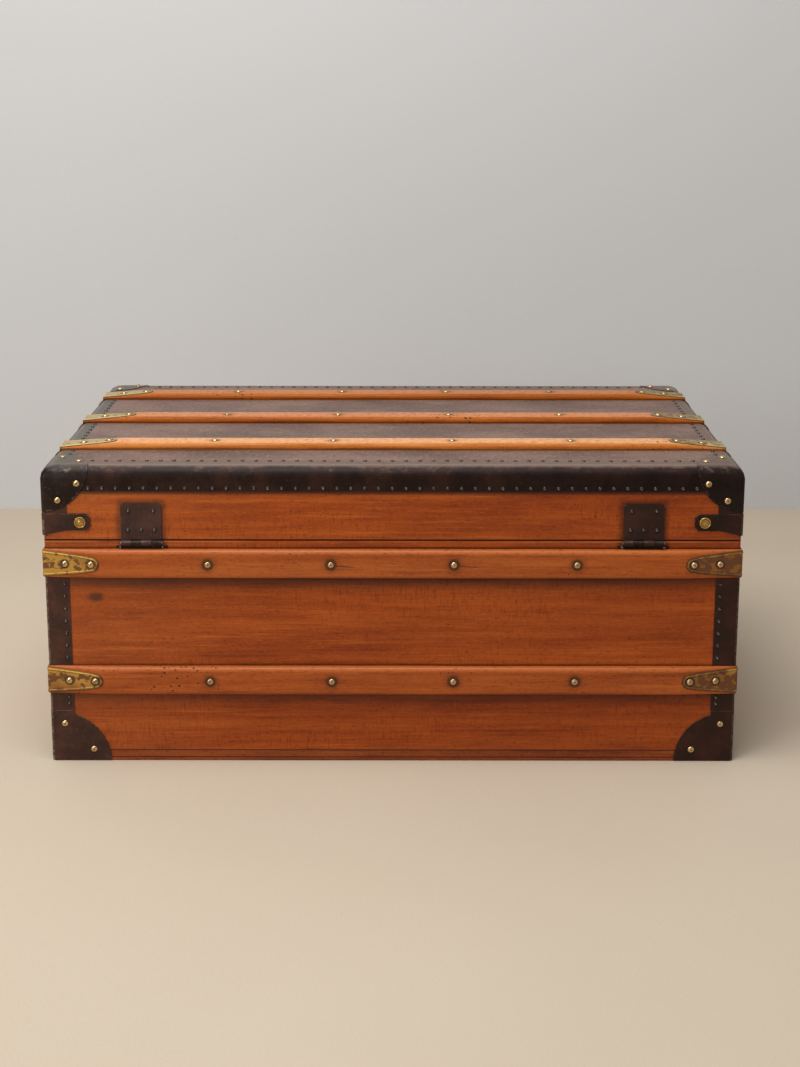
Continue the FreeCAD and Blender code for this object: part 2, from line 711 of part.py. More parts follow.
def latch_plate(sizes):
    """Leaf on the lid with an ear at each side of the hasp and the pin held in both."""
    inner = sizes["hasp_w"] / 2 + KNUCKLE_GAP
    half = inner + LATCH_EAR
    near = LATCH_Z + LATCH_R + FACE_GAP
    plate = tongue(half, near, near + LATCH_LEAF_H, LEAF_CUT, lambda a, z: V(a, HALF_D, z))
    pieces = [plate.extrude(V(0, LATCH_LEAF_T, 0)), rod(LATCH_PIN_R, -half, half, LATCH_Y, LATCH_Z)]
    ear = polygon([V(0, y, z) for y, z in (
        (HALF_D, near + LEAF_LAP), (HALF_D, LATCH_Z - LATCH_R), (LATCH_Y + LATCH_R, LATCH_Z - LATCH_R),
        (LATCH_Y + LATCH_R, LATCH_Z + LATCH_R), (HALF_D + LATCH_LEAF_T, near + LEAF_LAP))])
    for low in (-half, inner):
        pieces.append(ear.extrude(V(LATCH_EAR, 0, 0)).translated(V(low, 0, 0)))
    return joined(pieces)


def bolt_bar(play, x0, x1):
    """Square bar along the bolt's path, grown all round by a play."""
    half = BOLT_W / 2 + play
    return block((x0, x1), (BOLT_Y - half, BOLT_Y + half), (BOLT_Z - half, BOLT_Z + half))


def hasp(sizes):
    """Strap joggled out over the case, lipped at its foot, with an eyed staple behind."""
    half = sizes["hasp_w"] / 2
    low = LATCH_Z - sizes["hasp_h"]
    lip = low + 2 * HASP_T
    side_view = [V(-half, LATCH_Y - HASP_T / 2, LATCH_Z), V(-half, HASP_Y, SEAM_Z), V(-half, HASP_Y, lip),
                 V(-half, HASP_Y + HASP_T, low), V(-half, HASP_Y + 2 * HASP_T, low),
                 V(-half, HASP_Y + HASP_T, lip), V(-half, HASP_Y + HASP_T, SEAM_Z + HASP_T / 2),
                 V(-half, LATCH_Y + LATCH_R / 2, LATCH_Z + LATCH_R / 2)]
    strap = polygon(side_view).extrude(V(2 * half, 0, 0))
    front = tongue(half, LATCH_Z + LATCH_R, low, sizes["hasp_cut"], lambda a, z: V(a, HALF_D, z))
    strap = strap.common(front.extrude(V(0, 2 * CASE_PROUD, 0)))
    half_staple = STAPLE_W / 2
    staple = block((-half_staple, half_staple), (STAPLE_Y, HASP_Y + HASP_T / 2), (STAPLE_LOW, STAPLE_TOP))
    whole = joined([strap, rod(LATCH_R, -half, half, LATCH_Y, LATCH_Z), staple])
    whole = whole.cut(rod(LATCH_PIN_R + RUN_GAP, -half, half, LATCH_Y, LATCH_Z))
    return whole.cut(bolt_bar(2 * BOLT_PLAY, -half_staple, half_staple))


def latch_case(sizes):
    """Case on a plate, with a slot open at the top for the staple and a bore for the bolt."""
    low = LATCH_TOP - sizes["case_h"]

    def front(width, bottom, corner):
        return tongue(width / 2, LATCH_TOP, bottom, corner, lambda a, z: V(a, HALF_D, z))

    plate = front(sizes["plate_w"], low - LEAF_CUT, LEAF_CUT).extrude(V(0, PLATE_T, 0))
    body = front(sizes["case_w"], low, CASE_CUT).extrude(V(0, CASE_PROUD, 0))
    rim_edges = [edge for edge in body.Edges if edge.BoundBox.YMin > LATCH_FACE - TOUCH]
    body = body.makeChamfer(CASE_EASE, rim_edges)
    slot = block((-SLOT_HALF, SLOT_HALF), (HALF_D + PLATE_T, LATCH_FACE + OVER),
                 (STAPLE_LOW - SLOT_SIDE, LATCH_TOP + OVER))
    bore = bolt_bar(BOLT_PLAY, -SLOT_HALF - BOLT_ENTRY, BOLT_END + KNUCKLE_GAP)
    return joined([plate, body]).cut(slot).cut(bore)


def thumb_slot():
    """Slot in a catch's face that the thumb-piece's neck travels along."""
    reach = THUMB_NECK / 2 + BOLT_PLAY
    low = THUMB_X - BOLT_THROW - reach
    return block((low, THUMB_X + reach), (BOLT_Y, LATCH_FACE + OVER), (BOLT_Z - reach, BOLT_Z + reach))


def keyhole(sizes):
    z = LATCH_TOP - sizes["case_h"] + KEYHOLE_H
    back = HALF_D + PLATE_T
    eye = facing(Part.Face(ring(KEYHOLE_R, 0.0)).extrude(AXIS_Z * CASE_PROUD), V(0, back, z), AXIS_Y)
    half = KEYHOLE_SLOT / 2
    ward = block((-half, half), (back, back + CASE_PROUD), (z - KEYHOLE_FOOT, z))
    return eye.fuse(ward)


def bolt(thumb):
    shaft = bolt_bar(0.0, BOLT_START, BOLT_END)
    if not thumb:
        return shaft
    half = THUMB_NECK / 2
    face = LATCH_FACE + KNUCKLE_GAP
    neck = block((THUMB_X - half, THUMB_X + half), (BOLT_Y, face + OVER), (BOLT_Z - half, BOLT_Z + half))
    button = block((THUMB_X - THUMB_W / 2, THUMB_X + THUMB_W / 2), (face, face + THUMB_T),
                   (BOLT_Z - THUMB_H / 2, BOLT_Z + THUMB_H / 2))
    rim_edges = [edge for edge in button.Edges if edge.BoundBox.YMin > face + THUMB_T - TOUCH]
    return joined([shaft, neck, button.makeChamfer(THUMB_EASE, rim_edges)])


def latch_parts():
    """Lock in the middle of the front, and a catch near each end."""
    catch_case = latch_case(CATCH).cut(thumb_slot())
    plates = [latch_plate(LOCK)]
    cases = []
    parts = {"lock_hasp": hasp(LOCK), "lock_case": latch_case(LOCK).cut(keyhole(LOCK)),
             "lock_bolt": bolt(False)}
    for name, side in SIDES:
        place = V(side * CATCH_X, 0, 0)
        parts["catch_hasp_" + name] = hasp(CATCH).translated(place)
        parts["catch_bolt_" + name] = bolt(True).translated(place)
        cases.append(catch_case.translated(place))
        plates.append(latch_plate(CATCH).translated(place))
    parts["catch_cases"] = group(cases)
    parts["hasp_plates"] = group(plates)
    return parts


def latch_room():
    """Gaps that the front slat leaves for the lock and the catches."""
    gaps = []
    for sizes, x in ((LOCK, 0.0), (CATCH, -CATCH_X), (CATCH, CATCH_X)):
        half = sizes["plate_w"] / 2 + SLAT_GAP
        low = LATCH_TOP - sizes["case_h"] - CASE_CUT
        gaps.append(block((x - half, x + half), (HALF_D, HALF_D + 2 * SLAT_T), (low, SEAM_Z)))
    return Part.makeCompound(gaps)


# ---------------------------------------------------------------- end handles
HANDLE_X = HALF_L + BRACKET_T + EYE_CLEAR + EYE_R


def handle():
    """Stitched leather strap: a flat arch with an eye at each end, eased over its top."""
    half = HANDLE_SPAN / 2
    outer = half + EYE_W / 2
    inner = half - EYE_W / 2
    low = HANDLE_Z - HANDLE_DROP
    neck = HANDLE_Z - EYE_R
    top = HANDLE_Z + EYE_R
    x = HANDLE_X - EYE_R
    pieces = [Part.Arc(V(x, -outer, neck), V(x, 0, low), V(x, outer, neck)).toShape(),
              Part.Arc(V(x, inner, neck), V(x, 0, low + GRIP_W), V(x, -inner, neck)).toShape()]
    for path in ((outer, inner), (-inner, -outer)):
        corners = [V(x, path[0], neck), V(x, path[0], top), V(x, path[1], top), V(x, path[1], neck)]
        pieces.append(Part.makePolygon(corners))
    edges = Part.sortEdges([edge for piece in pieces for edge in piece.Edges])[0]
    strap = Part.Face(Part.Wire(edges)).extrude(V(2 * EYE_R, 0, 0))
    eye_edges = [edge for edge in strap.Edges
                 if edge.BoundBox.ZMin > top - TOUCH and edge.BoundBox.XLength < TOUCH]
    bore = Part.makeCylinder(HANDLE_PIN_R + RUN_GAP, 2 * outer, V(HANDLE_X, -outer, HANDLE_Z), AXIS_Y)
    return strap.makeChamfer(EYE_EASE, eye_edges).cut(bore)


def handle_bracket(y):
    """Channel with two ears and the pin that an eye turns on."""
    foot = HALF_L + BRACKET_T
    nose = HANDLE_X + EAR_R
    inner = EYE_W / 2 + EAR_GAP
    outer = inner + EAR_T
    ear = EAR_R - EAR_CUT
    corners = ((HALF_L, -BRACKET_H / 2), (foot, -BRACKET_H / 2), (foot, -EAR_R), (nose - EAR_CUT, -EAR_R),
               (nose, -ear), (nose, ear), (nose - EAR_CUT, EAR_R), (foot, EAR_R),
               (foot, BRACKET_H / 2), (HALF_L, BRACKET_H / 2))
    side_view = polygon([V(x, y - outer, HANDLE_Z + z) for x, z in corners])
    gap = block((foot, nose + OVER), (y - inner, y + inner),
                (HANDLE_Z - BRACKET_H / 2, HANDLE_Z + BRACKET_H / 2))
    pin = Part.makeCylinder(HANDLE_PIN_R, 2 * inner, V(HANDLE_X, y - inner, HANDLE_Z), AXIS_Y)
    return joined([side_view.extrude(V(0, 2 * outer, 0)).cut(gap), pin])


def handle_parts():
    right = handle()
    pair = [handle_bracket(side * HANDLE_SPAN / 2) for side in (-1, 1)]
    return {"handle_right": right, "handle_left": mirrored(right, AXIS_X),
            "handle_brackets": group(pair + [mirrored(one, AXIS_X) for one in pair])}


# ---------------------------------------------------------------- nails
def nail_parts():
    """Brass heads on slats, clamps, shoes and caps, and the studs of the straps."""
    nail = head(NAIL_R, NAIL_H)
    stud = head(STUD_R, STUD_H, STUD_TOP_R)
    end = HALF_L + SHEET_T + CLAMP_T

    def on_clamp(inset, thickness):
        """Height of a clamp's face off the slat's bed, and how much it slopes."""
        slope = (thickness - SLAT_TIP) / CLAMP_REACH
        return CLAMP_T + SLAT_TIP + slope * (inset - CLAMP_T), slope

    def slat_row(z, side):
        """Heads along one slat and on the clamps at its ends."""
        face_y = side * (HALF_D + SLAT_T)
        row = [facing(nail, V(x, face_y, z), AXIS_Y * side) for x in SLAT_NAILS]
        for _, hand in SIDES:
            for inset in CLAMP_NAILS:
                out, slope = on_clamp(inset, SLAT_T)
                place = V(hand * (end - inset), side * (HALF_D + out), z)
                row.append(facing(nail, place, V(hand * slope, side, 0)))
            row.append(facing(nail, V(hand * end, side * (HALF_D - TAB_NAIL), z), AXIS_X * hand))
        return row

    def top_row(y):
        """Heads along one slat of the lid and on the clamps at its ends."""
        face_z = LID_TOP + SHEET_T + TOP_SLAT_T
        row = [facing(nail, V(x, y, face_z), AXIS_Z) for x in SLAT_NAILS]
        for _, hand in SIDES:
            for inset in CLAMP_NAILS:
                up, slope = on_clamp(inset, TOP_SLAT_T)
                place = V(hand * (end - TOP_SLAT_END - inset), y, LID_TOP + SHEET_T + up)
                row.append(facing(nail, place, V(hand * slope, 0, 1)))
            row.append(facing(nail, V(hand * end, y, LID_TOP - ROLL_R - NAIL_R), AXIS_X * hand))
        return row

    def wall_pair(shape, side_x, side_y, skin, across, z):
        """One head on each wall of a corner fitting, the same way in from the corner."""
        edge_x = HALF_L + skin
        edge_y = HALF_D + skin
        return [facing(shape, V(side_x * (edge_x - across), side_y * edge_y, z), AXIS_Y * side_y),
                facing(shape, V(side_x * edge_x, side_y * (edge_y - across), z), AXIS_X * side_x)]

    case = []
    lid = []
    for _, side in FACES:
        for z in (LOWER_SLAT_Z, UPPER_SLAT_Z):
            case += slat_row(z, side)
    for index in (-1, 0, 1):
        lid += top_row(index * TOP_SLAT_PITCH)
    cap_z = LID_TOP + CAP_T
    for side_x, side_y in CORNERS:
        for across, up in SHOE_NAILS:
            case += wall_pair(nail, side_x, side_y, SHOE_T, across, up)
        for across, down in CAP_NAILS:
            lid += wall_pair(nail, side_x, side_y, CAP_T, across, cap_z - down)
            on_top = V(side_x * (HALF_L + CAP_T - across), side_y * (HALF_D + CAP_T - down), cap_z)
            lid.append(facing(nail, on_top, AXIS_Z))
        lid += wall_pair(stud, side_x, side_y, STRAP_T, STUD_IN, SEAM_Z + STRAP_LOW + STRAP_H / 2)
    return {"case_nails": group(case), "lid_nails": group(lid)}


# ---------------------------------------------------------------- assembly
hinges = hinge_parts()
latches = latch_parts()
nodes = wall_boards(upright_prism(0.0, WALL_Z, CASE_TOP), WALL_Z, CASE_TOP,
                    ("back_board", "front_board", "end_board_left", "end_board_right"))
nodes.update(base_parts())
nodes.update(wall_boards(LID_ENVELOPE, LID_BASE, LID_UNDER,
                         ("lid_back_rail", "lid_front_rail", "lid_end_rail_left", "lid_end_rail_right")))
nodes["lid_top_board"] = LID_ENVELOPE.common(centred(HALF_L, HALF_D, (LID_UNDER, LID_TOP)))
nodes.update(lining_parts())
nodes["case_rim"] = rim()
nodes.update(tray_parts())
nodes["case_corner_strips"] = corner_strips()
nodes["lid_corner_strips"] = lid_corner_strips()
nodes["corner_shoes"] = corner_shoes()
nodes.update(lid_edging())
nodes["lid_caps"] = lid_caps()
nodes["lid_canvas"] = lid_canvas()
nodes["lid_straps"] = lid_straps()
nodes.update(slat_parts({"back": hinges["hinge_leaves_case"], "front": latch_room()}))
nodes.update(hinges)
nodes.update(latches)
nodes.update(handle_parts())
nodes.update(nail_parts())

os.makedirs("parts", exist_ok=True)
for name, shape in nodes.items():
    shape.exportStep("parts/" + name + ".step")
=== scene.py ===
import bmesh
import bpy
import math
from mathutils import Matrix, Vector


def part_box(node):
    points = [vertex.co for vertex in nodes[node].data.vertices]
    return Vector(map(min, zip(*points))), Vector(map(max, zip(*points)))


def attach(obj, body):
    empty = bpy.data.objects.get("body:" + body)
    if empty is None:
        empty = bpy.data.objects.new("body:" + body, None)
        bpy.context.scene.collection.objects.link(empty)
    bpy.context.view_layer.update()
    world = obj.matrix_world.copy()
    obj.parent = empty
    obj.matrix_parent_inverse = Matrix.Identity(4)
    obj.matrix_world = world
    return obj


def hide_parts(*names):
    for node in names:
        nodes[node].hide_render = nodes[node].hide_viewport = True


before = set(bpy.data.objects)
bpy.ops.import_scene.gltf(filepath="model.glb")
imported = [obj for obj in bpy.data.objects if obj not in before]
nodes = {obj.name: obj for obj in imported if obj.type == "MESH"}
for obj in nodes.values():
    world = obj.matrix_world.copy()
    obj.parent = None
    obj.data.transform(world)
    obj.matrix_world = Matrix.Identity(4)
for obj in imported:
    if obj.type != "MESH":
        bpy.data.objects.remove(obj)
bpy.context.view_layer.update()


# ------------------------------------------------------------------ case boards
# Wide softwood boards, planed, stained a reddish brown and varnished. The back and front run
# the full length with the ends butted between them; the grain always follows the board.
class Wire:
    """A value in a finish. Arithmetic on it adds Math nodes to the same tree."""

    def __init__(self, finish, socket):
        self.finish = finish
        self.socket = socket

    def math(self, operation, *others):
        return self.finish.node("ShaderNodeMath", {"operation": operation}, dict(enumerate((self,) + others)))

    def __add__(self, other):
        return self.math("ADD", other)

    __radd__ = __add__

    def __mul__(self, other):
        return self.math("MULTIPLY", other)

    __rmul__ = __mul__

    def __sub__(self, other):
        return self.math("SUBTRACT", other)

    def __rsub__(self, other):
        return (self * -1.0) + other

    def __truediv__(self, other):
        return self.math("DIVIDE", other)

    def __abs__(self):
        return self.math("ABSOLUTE")

    def most(self, other):
        return self.math("MAXIMUM", other)

    def least(self, other):
        return self.math("MINIMUM", other)

    def ease(self, low, high):
        """0 below low, 1 above high (or the other way round), smooth between."""
        return self.finish.node("ShaderNodeMapRange", {"interpolation_type": "SMOOTHSTEP"},
                                {0: self, 1: low, 2: high, 3: 0.0, 4: 1.0})


def distance(*ways):
    """How far off a point lies, from how far off it is each way."""
    total = ways[0] * ways[0]
    for way in ways[1:]:
        total = total + way * way
    return total.math("SQRT")


def tone(code):
    """Colour of a paint chip, written as on a colour card."""
    parts = [int(code[index:index + 2], 16) / 255 for index in (0, 2, 4)]
    linear = [part / 12.92 if part < 0.04045 else ((part + 0.055) / 1.055) ** 2.4 for part in parts]
    return (*linear, 1.0)


class Finish:
    """A material while it is being mixed. A colour is given as a chip's code or as a Wire."""

    def __init__(self, name):
        self.material = bpy.data.materials.new(name)
        self.material.use_nodes = True
        self.tree = self.material.node_tree
        self.tree.nodes.clear()

    def node(self, kind, settings=None, inputs=None, output=0):
        """Adds a node of any kind and returns one of its outputs."""
        made = self.tree.nodes.new(kind)
        for key, value in (settings or {}).items():
            setattr(made, key, value)
        for key, value in (inputs or {}).items():
            if isinstance(value, Wire):
                self.tree.links.new(value.socket, made.inputs[key])
            else:
                made.inputs[key].default_value = tone(value) if isinstance(value, str) else value
        return Wire(self, made.outputs[output]) if made.outputs else None

    def place(self, scale, offset=(0, 0, 0)):
        """The object's own coordinates in metres, stretched for a pattern."""
        spot = self.node("ShaderNodeTexCoord", output="Object")
        scale = scale if isinstance(scale, tuple) else (scale,) * 3
        return self.node("ShaderNodeMapping", {}, {"Vector": spot, "Scale": scale, "Location": offset})

    def axes(self):
        """The object's x, y and z."""
        spot = self.node("ShaderNodeTexCoord", output="Object")
        return [self.node("ShaderNodeSeparateXYZ", {}, {0: spot}, axis) for axis in range(3)]

    def noise(self, scale, detail=3.0, offset=(0, 0, 0), rough=0.5):
        return self.node("ShaderNodeTexNoise", {}, {"Vector": self.place(scale, offset), "Scale": 1.0,
                                                    "Detail": detail, "Roughness": rough})

    def cells(self, scale, feature="F1"):
        return self.node("ShaderNodeTexVoronoi", {"feature": feature},
                         {"Vector": self.place(scale), "Scale": 1.0})

    def carried(self, name):
        """A value that the mesh carries on its points."""
        return self.node("ShaderNodeAttribute", {"attribute_name": name}, {}, "Fac")

    def blend(self, amount, first, second):
        """Colour between two others."""
        return self.node("ShaderNodeMix", {"data_type": "RGBA"}, {0: amount, 6: first, 7: second}, 2)

    def paint(self, colour, *coats):
        """Lays coats over a colour in turn, each by its own amount."""
        for amount, coat in coats:
            colour = self.blend(amount, colour, coat)
        return colour

    def stain(self, colour, *coats):
        """Darkens a colour with one stain after another, each by its own amount."""
        for amount, coat in coats:
            colour = self.node("ShaderNodeMix", {"data_type": "RGBA", "blend_type": "MULTIPLY"},
                               {0: amount, 6: colour, 7: coat}, 2)
        return colour

    def turned_to(self, axis):
        """How far the surface faces along one of the object's own axes."""
        normal = self.node("ShaderNodeTexCoord", output="Normal")
        return self.node("ShaderNodeSeparateXYZ", {}, {0: normal}, axis)

    def edge_wear(self, low, high):
        """Where a rounded edge turns between two faces."""
        parts = [abs(self.turned_to(axis)) for axis in range(3)]
        return parts[0].most(parts[1]).most(parts[2]).ease(low, high)

    def lay(self, colour, roughness, height, depth, strength, more=None, hidden=None):
        """Ends the finish in one shader with relief, clear where it is hidden; returns the material."""
        relief = self.node("ShaderNodeBump", {}, {"Height": height, "Distance": depth, "Strength": strength})
        inputs = {"Base Color": colour, "Roughness": roughness, "Normal": relief}
        surface = self.node("ShaderNodeBsdfPrincipled", {}, {**inputs, **(more or {})})
        if hidden:
            clear = self.node("ShaderNodeBsdfTransparent")
            surface = self.node("ShaderNodeMixShader", {}, {0: hidden, 1: surface, 2: clear})
        self.node("ShaderNodeOutputMaterial", {}, {"Surface": surface})
        return self.material


def wood_tones(*codes):
    """A wood's dark, middle and light, the colour of its growth rings and that of its pores."""
    return dict(zip(("deep", "middle", "light", "ring", "pore"), codes))


def grained(finish, grain, tones, pith, seed, ring=0.0085, contrast=0.20):
    """Colour, fibre, growth rings and blotches of a board whose grain runs along x or y."""
    run = "xy".index(grain)
    axes = finish.axes()

    def stretched(slow, fast):
        return tuple(slow if axis == run else fast for axis in range(3))

    sway = finish.noise(stretched(1.1, 5.0), 2.0, (seed, seed * 2.1, seed * 0.7))
    ripple = finish.noise(stretched(4.0, 22.0), 2.0, (seed * 1.3, seed, 0.0))
    radius = distance(axes[1 - run] - pith[0], axes[2] - pith[1])
    radius = radius + (sway - 0.5) * 0.062 + (ripple - 0.5) * 0.007
    rings = ((radius * (2 * math.pi / ring)).math("SINE") * 0.5 + 0.5).math("POWER", 2.2)
    fibre = finish.noise(stretched(22.0, 620.0), 3.0, (seed, 0.0, seed))
    streak = finish.noise(stretched(7.0, 210.0), 4.0, (0.0, seed, seed), 0.66)
    fleck = finish.noise(stretched(190.0, 420.0), 3.0, (seed, seed, 0.0), 0.70)
    band = finish.noise(stretched(1.5, 34.0), 3.0, (seed, 3.0, seed), 0.55)
    blotch = finish.noise(stretched(4.5, 15.0), 4.0, (seed, seed, 0.0), 0.60)
    body = finish.blend(blotch.ease(0.30, 0.66), tones["deep"], tones["middle"])
    body = finish.paint(body, (band.ease(0.44, 0.72) * 0.45, tones["light"]),
                        (streak.ease(0.48, 0.28) * 0.55, tones["light"]),
                        (fleck.ease(0.45, 0.25) * 0.50, tones["light"]))
    body = finish.stain(body, (rings * band.ease(0.62, 0.42) * contrast, tones["ring"]),
                        (streak.ease(0.54, 0.74) * 0.42, tones["pore"]),
                        (fleck.ease(0.53, 0.74) * 0.55, tones["pore"]),
                        (fibre.ease(0.52, 0.70) * 0.30, tones["pore"]))
    return body, fibre, rings, blotch


def varnish(finish, colour, fibre, rings, matt=0.0):
    """Rubbed varnish: satin, a little duller and sunk where the fibres open."""
    return finish.lay(colour, fibre * 0.16 + (0.38 + matt), fibre * 0.5 + rings * 0.35, 0.00035, 0.5,
                      {"Specular IOR Level": 0.20, "Coat Weight": 0.08, "Coat Roughness": 0.28})


def middle(pair, axis):
    """Middle of a box along one axis."""
    return (pair[0][axis] + pair[1][axis]) / 2


CASE_TONES = wood_tones("8C3A0A", "A84C0E", "C26420", "A87458", "9A6A50")
GRIME_AND_SHADE = "2E1207"
DEEP_SHADE_AND_GRIME = "241009"
SLAT_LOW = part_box("slat_back_lower")
SLAT_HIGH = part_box("slat_back_upper")
SLAT_SHADE_AND_GRIME = ((SLAT_LOW, 0.35), (SLAT_HIGH, 0.52))
JOINTS = (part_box("base_skids")[1].z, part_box("bottom_board")[1].z)
JOINT_LINE = 0.0011
SEAM_Z = (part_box("back_board")[1].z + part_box("lid_back_rail")[0].z) / 2
EDGING_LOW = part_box("lid_edging_back")[0].z
LEAF_HALF = 0.0260
HINGE_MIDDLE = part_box("hinge_leaves_lid")[1].x - LEAF_HALF
HINGE_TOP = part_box("hinge_leaves_lid")[1].z


def joint_dirt(z, depth):
    """Grimy coats in the joints above the skids and above the bottom board."""
    return [(abs(z - level).ease(JOINT_LINE, JOINT_LINE * 0.35) * depth, GRIME_AND_SHADE) for level in JOINTS]


def case_board(name, grain, pith, seed, knots=()):
    """A board's finish: painted shade by its slats, under the edging and in the seam, painted light from the
    left, dirty round its hinges and joints, and a worn top edge painted as a highlight.
    """
    finish = Finish(name)
    colour, fibre, rings, blotch = grained(finish, grain, CASE_TONES, pith, seed)
    x, y, z = finish.axes()
    unevenness = finish.noise((7.0, 7.0, 34.0), 3.0, (seed, 0.0, 0.0))
    # painted shade, partly real soiling: a band under each slat and a thin line over it
    for pair, depth in SLAT_SHADE_AND_GRIME if grain == "x" else ():
        low, high = pair[0].z, pair[1].z
        under = z.ease(low - 0.024, low - 0.002) * z.ease(high + 0.002, low)
        over = z.ease(high + 0.003, high) * z.ease(low, high)
        colour = finish.paint(colour, ((under + over).least(1.0) * (unevenness * 0.5 + depth), GRIME_AND_SHADE))
    # painted shadow, partly real soiling, in a band on the lid rails just under the edging
    shade_below_edging = z.ease(EDGING_LOW - 0.0070, EDGING_LOW - 0.0015) * z.ease(EDGING_LOW + 0.003, EDGING_LOW)
    from_hinge = (abs(abs(x) - HINGE_MIDDLE) - LEAF_HALF).most(z - HINGE_TOP) + (unevenness - 0.5) * 0.012
    halo = from_hinge.ease(0.0095, 0.0010) * z.ease(SLAT_HIGH[1].z - 0.004, SLAT_HIGH[1].z)
    foot = z.ease(0.030, 0.004) * unevenness.ease(0.50, 0.66)
    colour = finish.paint(colour, (shade_below_edging * 0.85, DEEP_SHADE_AND_GRIME),
                          (halo * y.ease(-0.20, -0.25) * 0.55, GRIME_AND_SHADE),
                          (foot * 0.55, GRIME_AND_SHADE), *joint_dirt(z, 0.8))
    for along, up, size in knots:
        off = (x if grain == "x" else y) - along
        far = distance(off / (size * 1.5), (z - up) / size) + (unevenness - 0.5) * 0.9
        colour = finish.paint(colour, (far.ease(1.15, 0.35) * 0.75, GRIME_AND_SHADE))
    sparse = finish.noise(6, 1.0, (seed, 2.0, 0.0)).ease(0.52, 0.60)
    colour = finish.paint(colour, (finish.cells((40, 40, 55)).ease(0.055, 0.025) * sparse * 0.7, GRIME_AND_SHADE))
    hatch = finish.noise((420.0, 420.0, 70.0), 3.0, (0.0, seed, 0.0), 0.6)
    # painted light: the last coat here darkens the board towards the right and the next line lightens it
    # towards the left
    colour = finish.stain(colour, (hatch.ease(0.48, 0.74) * blotch.ease(0.44, 0.60) * 0.48, "8A5A40"),
                          (x.ease(-0.42, 0.30) * 0.55, "E2D2C4"))
    colour = finish.paint(colour, (x.ease(-0.15, -0.42) * 0.05, "B88A5C"))
    colour = finish.stain(colour, (z.ease(0.115, 0.085) * 0.40, "E2D2C4"))
    # the case's top edge: worn, and painted lighter as a highlight; the seam above: painted shade in its gap
    worn = z.ease(SEAM_Z - 0.0036, SEAM_Z - 0.0026) * unevenness.ease(0.62, 0.44)
    colour = finish.paint(colour, (worn * z.ease(SEAM_Z + 0.001, SEAM_Z) * 0.65, "B86432"),
                          (abs(z - SEAM_Z).ease(0.0014, 0.0009) * 0.9, "1A0A04"))
    return varnish(finish, colour, fibre, rings)


def finish_node(material, *names):
    """Lays one finish on carried-over parts."""
    for name in names:
        data = nodes[name].data
        data.materials.clear()
        data.materials.append(material)


BACK_KNOT = (-0.384, 0.226, 0.009)
finish_node(case_board("pine_back", "x", (-0.16, 0.17), 3.0, [BACK_KNOT]), "back_board")
finish_node(case_board("pine_front", "x", (0.14, 0.20), 11.0), "front_board")
finish_node(case_board("pine_end", "y", (0.20, 0.19), 17.0), "end_board_left", "end_board_right")
finish_node(case_board("pine_lid", "x", (-0.19, 0.36), 23.0),
            "lid_back_rail", "lid_front_rail", "lid_top_board")
finish_node(case_board("pine_lid_end", "y", (0.24, 0.35), 29.0), "lid_end_rail_left", "lid_end_rail_right")


# ------------------------------------------------------------------ bottom board and skids
# The bottom is nailed up into the walls and stands on four skids. Both are the same pine as
# the case outside, dirty where they meet the floor.
def worn_base(name):
    finish = Finish(name)
    tones = wood_tones("6B2D10", "8A3E16", "A05422", "B08468", "94684E")
    colour, fibre, rings = grained(finish, "x", tones, (0.0, -0.20), 37.0)[:3]
    z = finish.axes()[2]
    scuff = finish.noise((60.0, 60.0, 300.0))
    colour = finish.paint(colour, *joint_dirt(z, 0.85),
                          (z.ease(0.003, 0.0) * scuff.ease(0.4, 0.7) * 0.7, "4A2716"))
    return varnish(finish, colour, fibre, rings, 0.12)


finish_node(worn_base("pine_base"), "bottom_board", "base_skids")


# ------------------------------------------------------------------ lining, rim, rails and tray
# Case and lid are lined with pasted striped paper. The rim and the tray rails are bare wood,
# and the tray is thin wood covered with the same kind of paper.
def striped_paper(name, ground, stripe, pitch):
    finish = Finish(name)
    x, y = finish.axes()[:2]
    wide, fine = [((x + y) * (turns * math.pi / pitch)).math("SINE") for turns in (2, 6)]
    foxed = finish.noise(5, 4.0, (3, 1, 2), 0.6)
    fibre = finish.noise(260)
    colour = finish.paint(ground, (wide.ease(0.55, 0.72) * 0.7, stripe),
                          (fine.ease(0.90, 0.97) * 0.45, stripe),
                          (foxed.ease(0.52, 0.75) * 0.5, "A98A63"))
    colour = finish.stain(colour, (fibre.ease(0.45, 0.75) * 0.25, "C9BCA6"))
    return finish.lay(colour, fibre * 0.15 + 0.75, fibre, 0.0002, 0.5)


def bare_wood(name):
    finish = Finish(name)
    tones = wood_tones("A87845", "C0905A", "D0A670", "C8A684", "A98A6C")
    colour, fibre = grained(finish, "x", tones, (0.0, 0.10), 41.0, contrast=0.45)[:2]
    return finish.lay(colour, fibre * 0.2 + 0.58, fibre, 0.0003, 0.5)


finish_node(striped_paper("lining_paper", "D8C7A4", "8C6A4A", 0.036), "case_lining", "lid_lining")
finish_node(striped_paper("tray_paper", "D2C09C", "94714F", 0.024), "tray_frame", "tray_floor")
finish_node(bare_wood("bare_pine"), "case_rim", "tray_rails")


# ------------------------------------------------------------------ slats
# Hardwood slats with rounded edges, nailed along their middle. They are paler than the case,
# painted with a highlight on top and shade at the foot, stained dark round each nail, bored by woodworm.
NAIL_PITCH = 0.158
NAILS_END = 0.330           # past the last nail between the clamps
SLAT_TONES = wood_tones("8E3E0B", "A34D13", "BC6428", "B08060", "A07458")
NEAR_TONES = wood_tones("B0601E", "C67834", "D48A44", "C0946C", "B48A60")
FAR_TONES = wood_tones("96480E", "AC5A16", "BE6E24", "C0946C", "B48A60")
NAIL_STAIN = "2E170D"
WORM_SPOT = -0.265          # middle of the wormy stretch of the lower slats
NO_WORM = 0.90              # past the ends of any slat


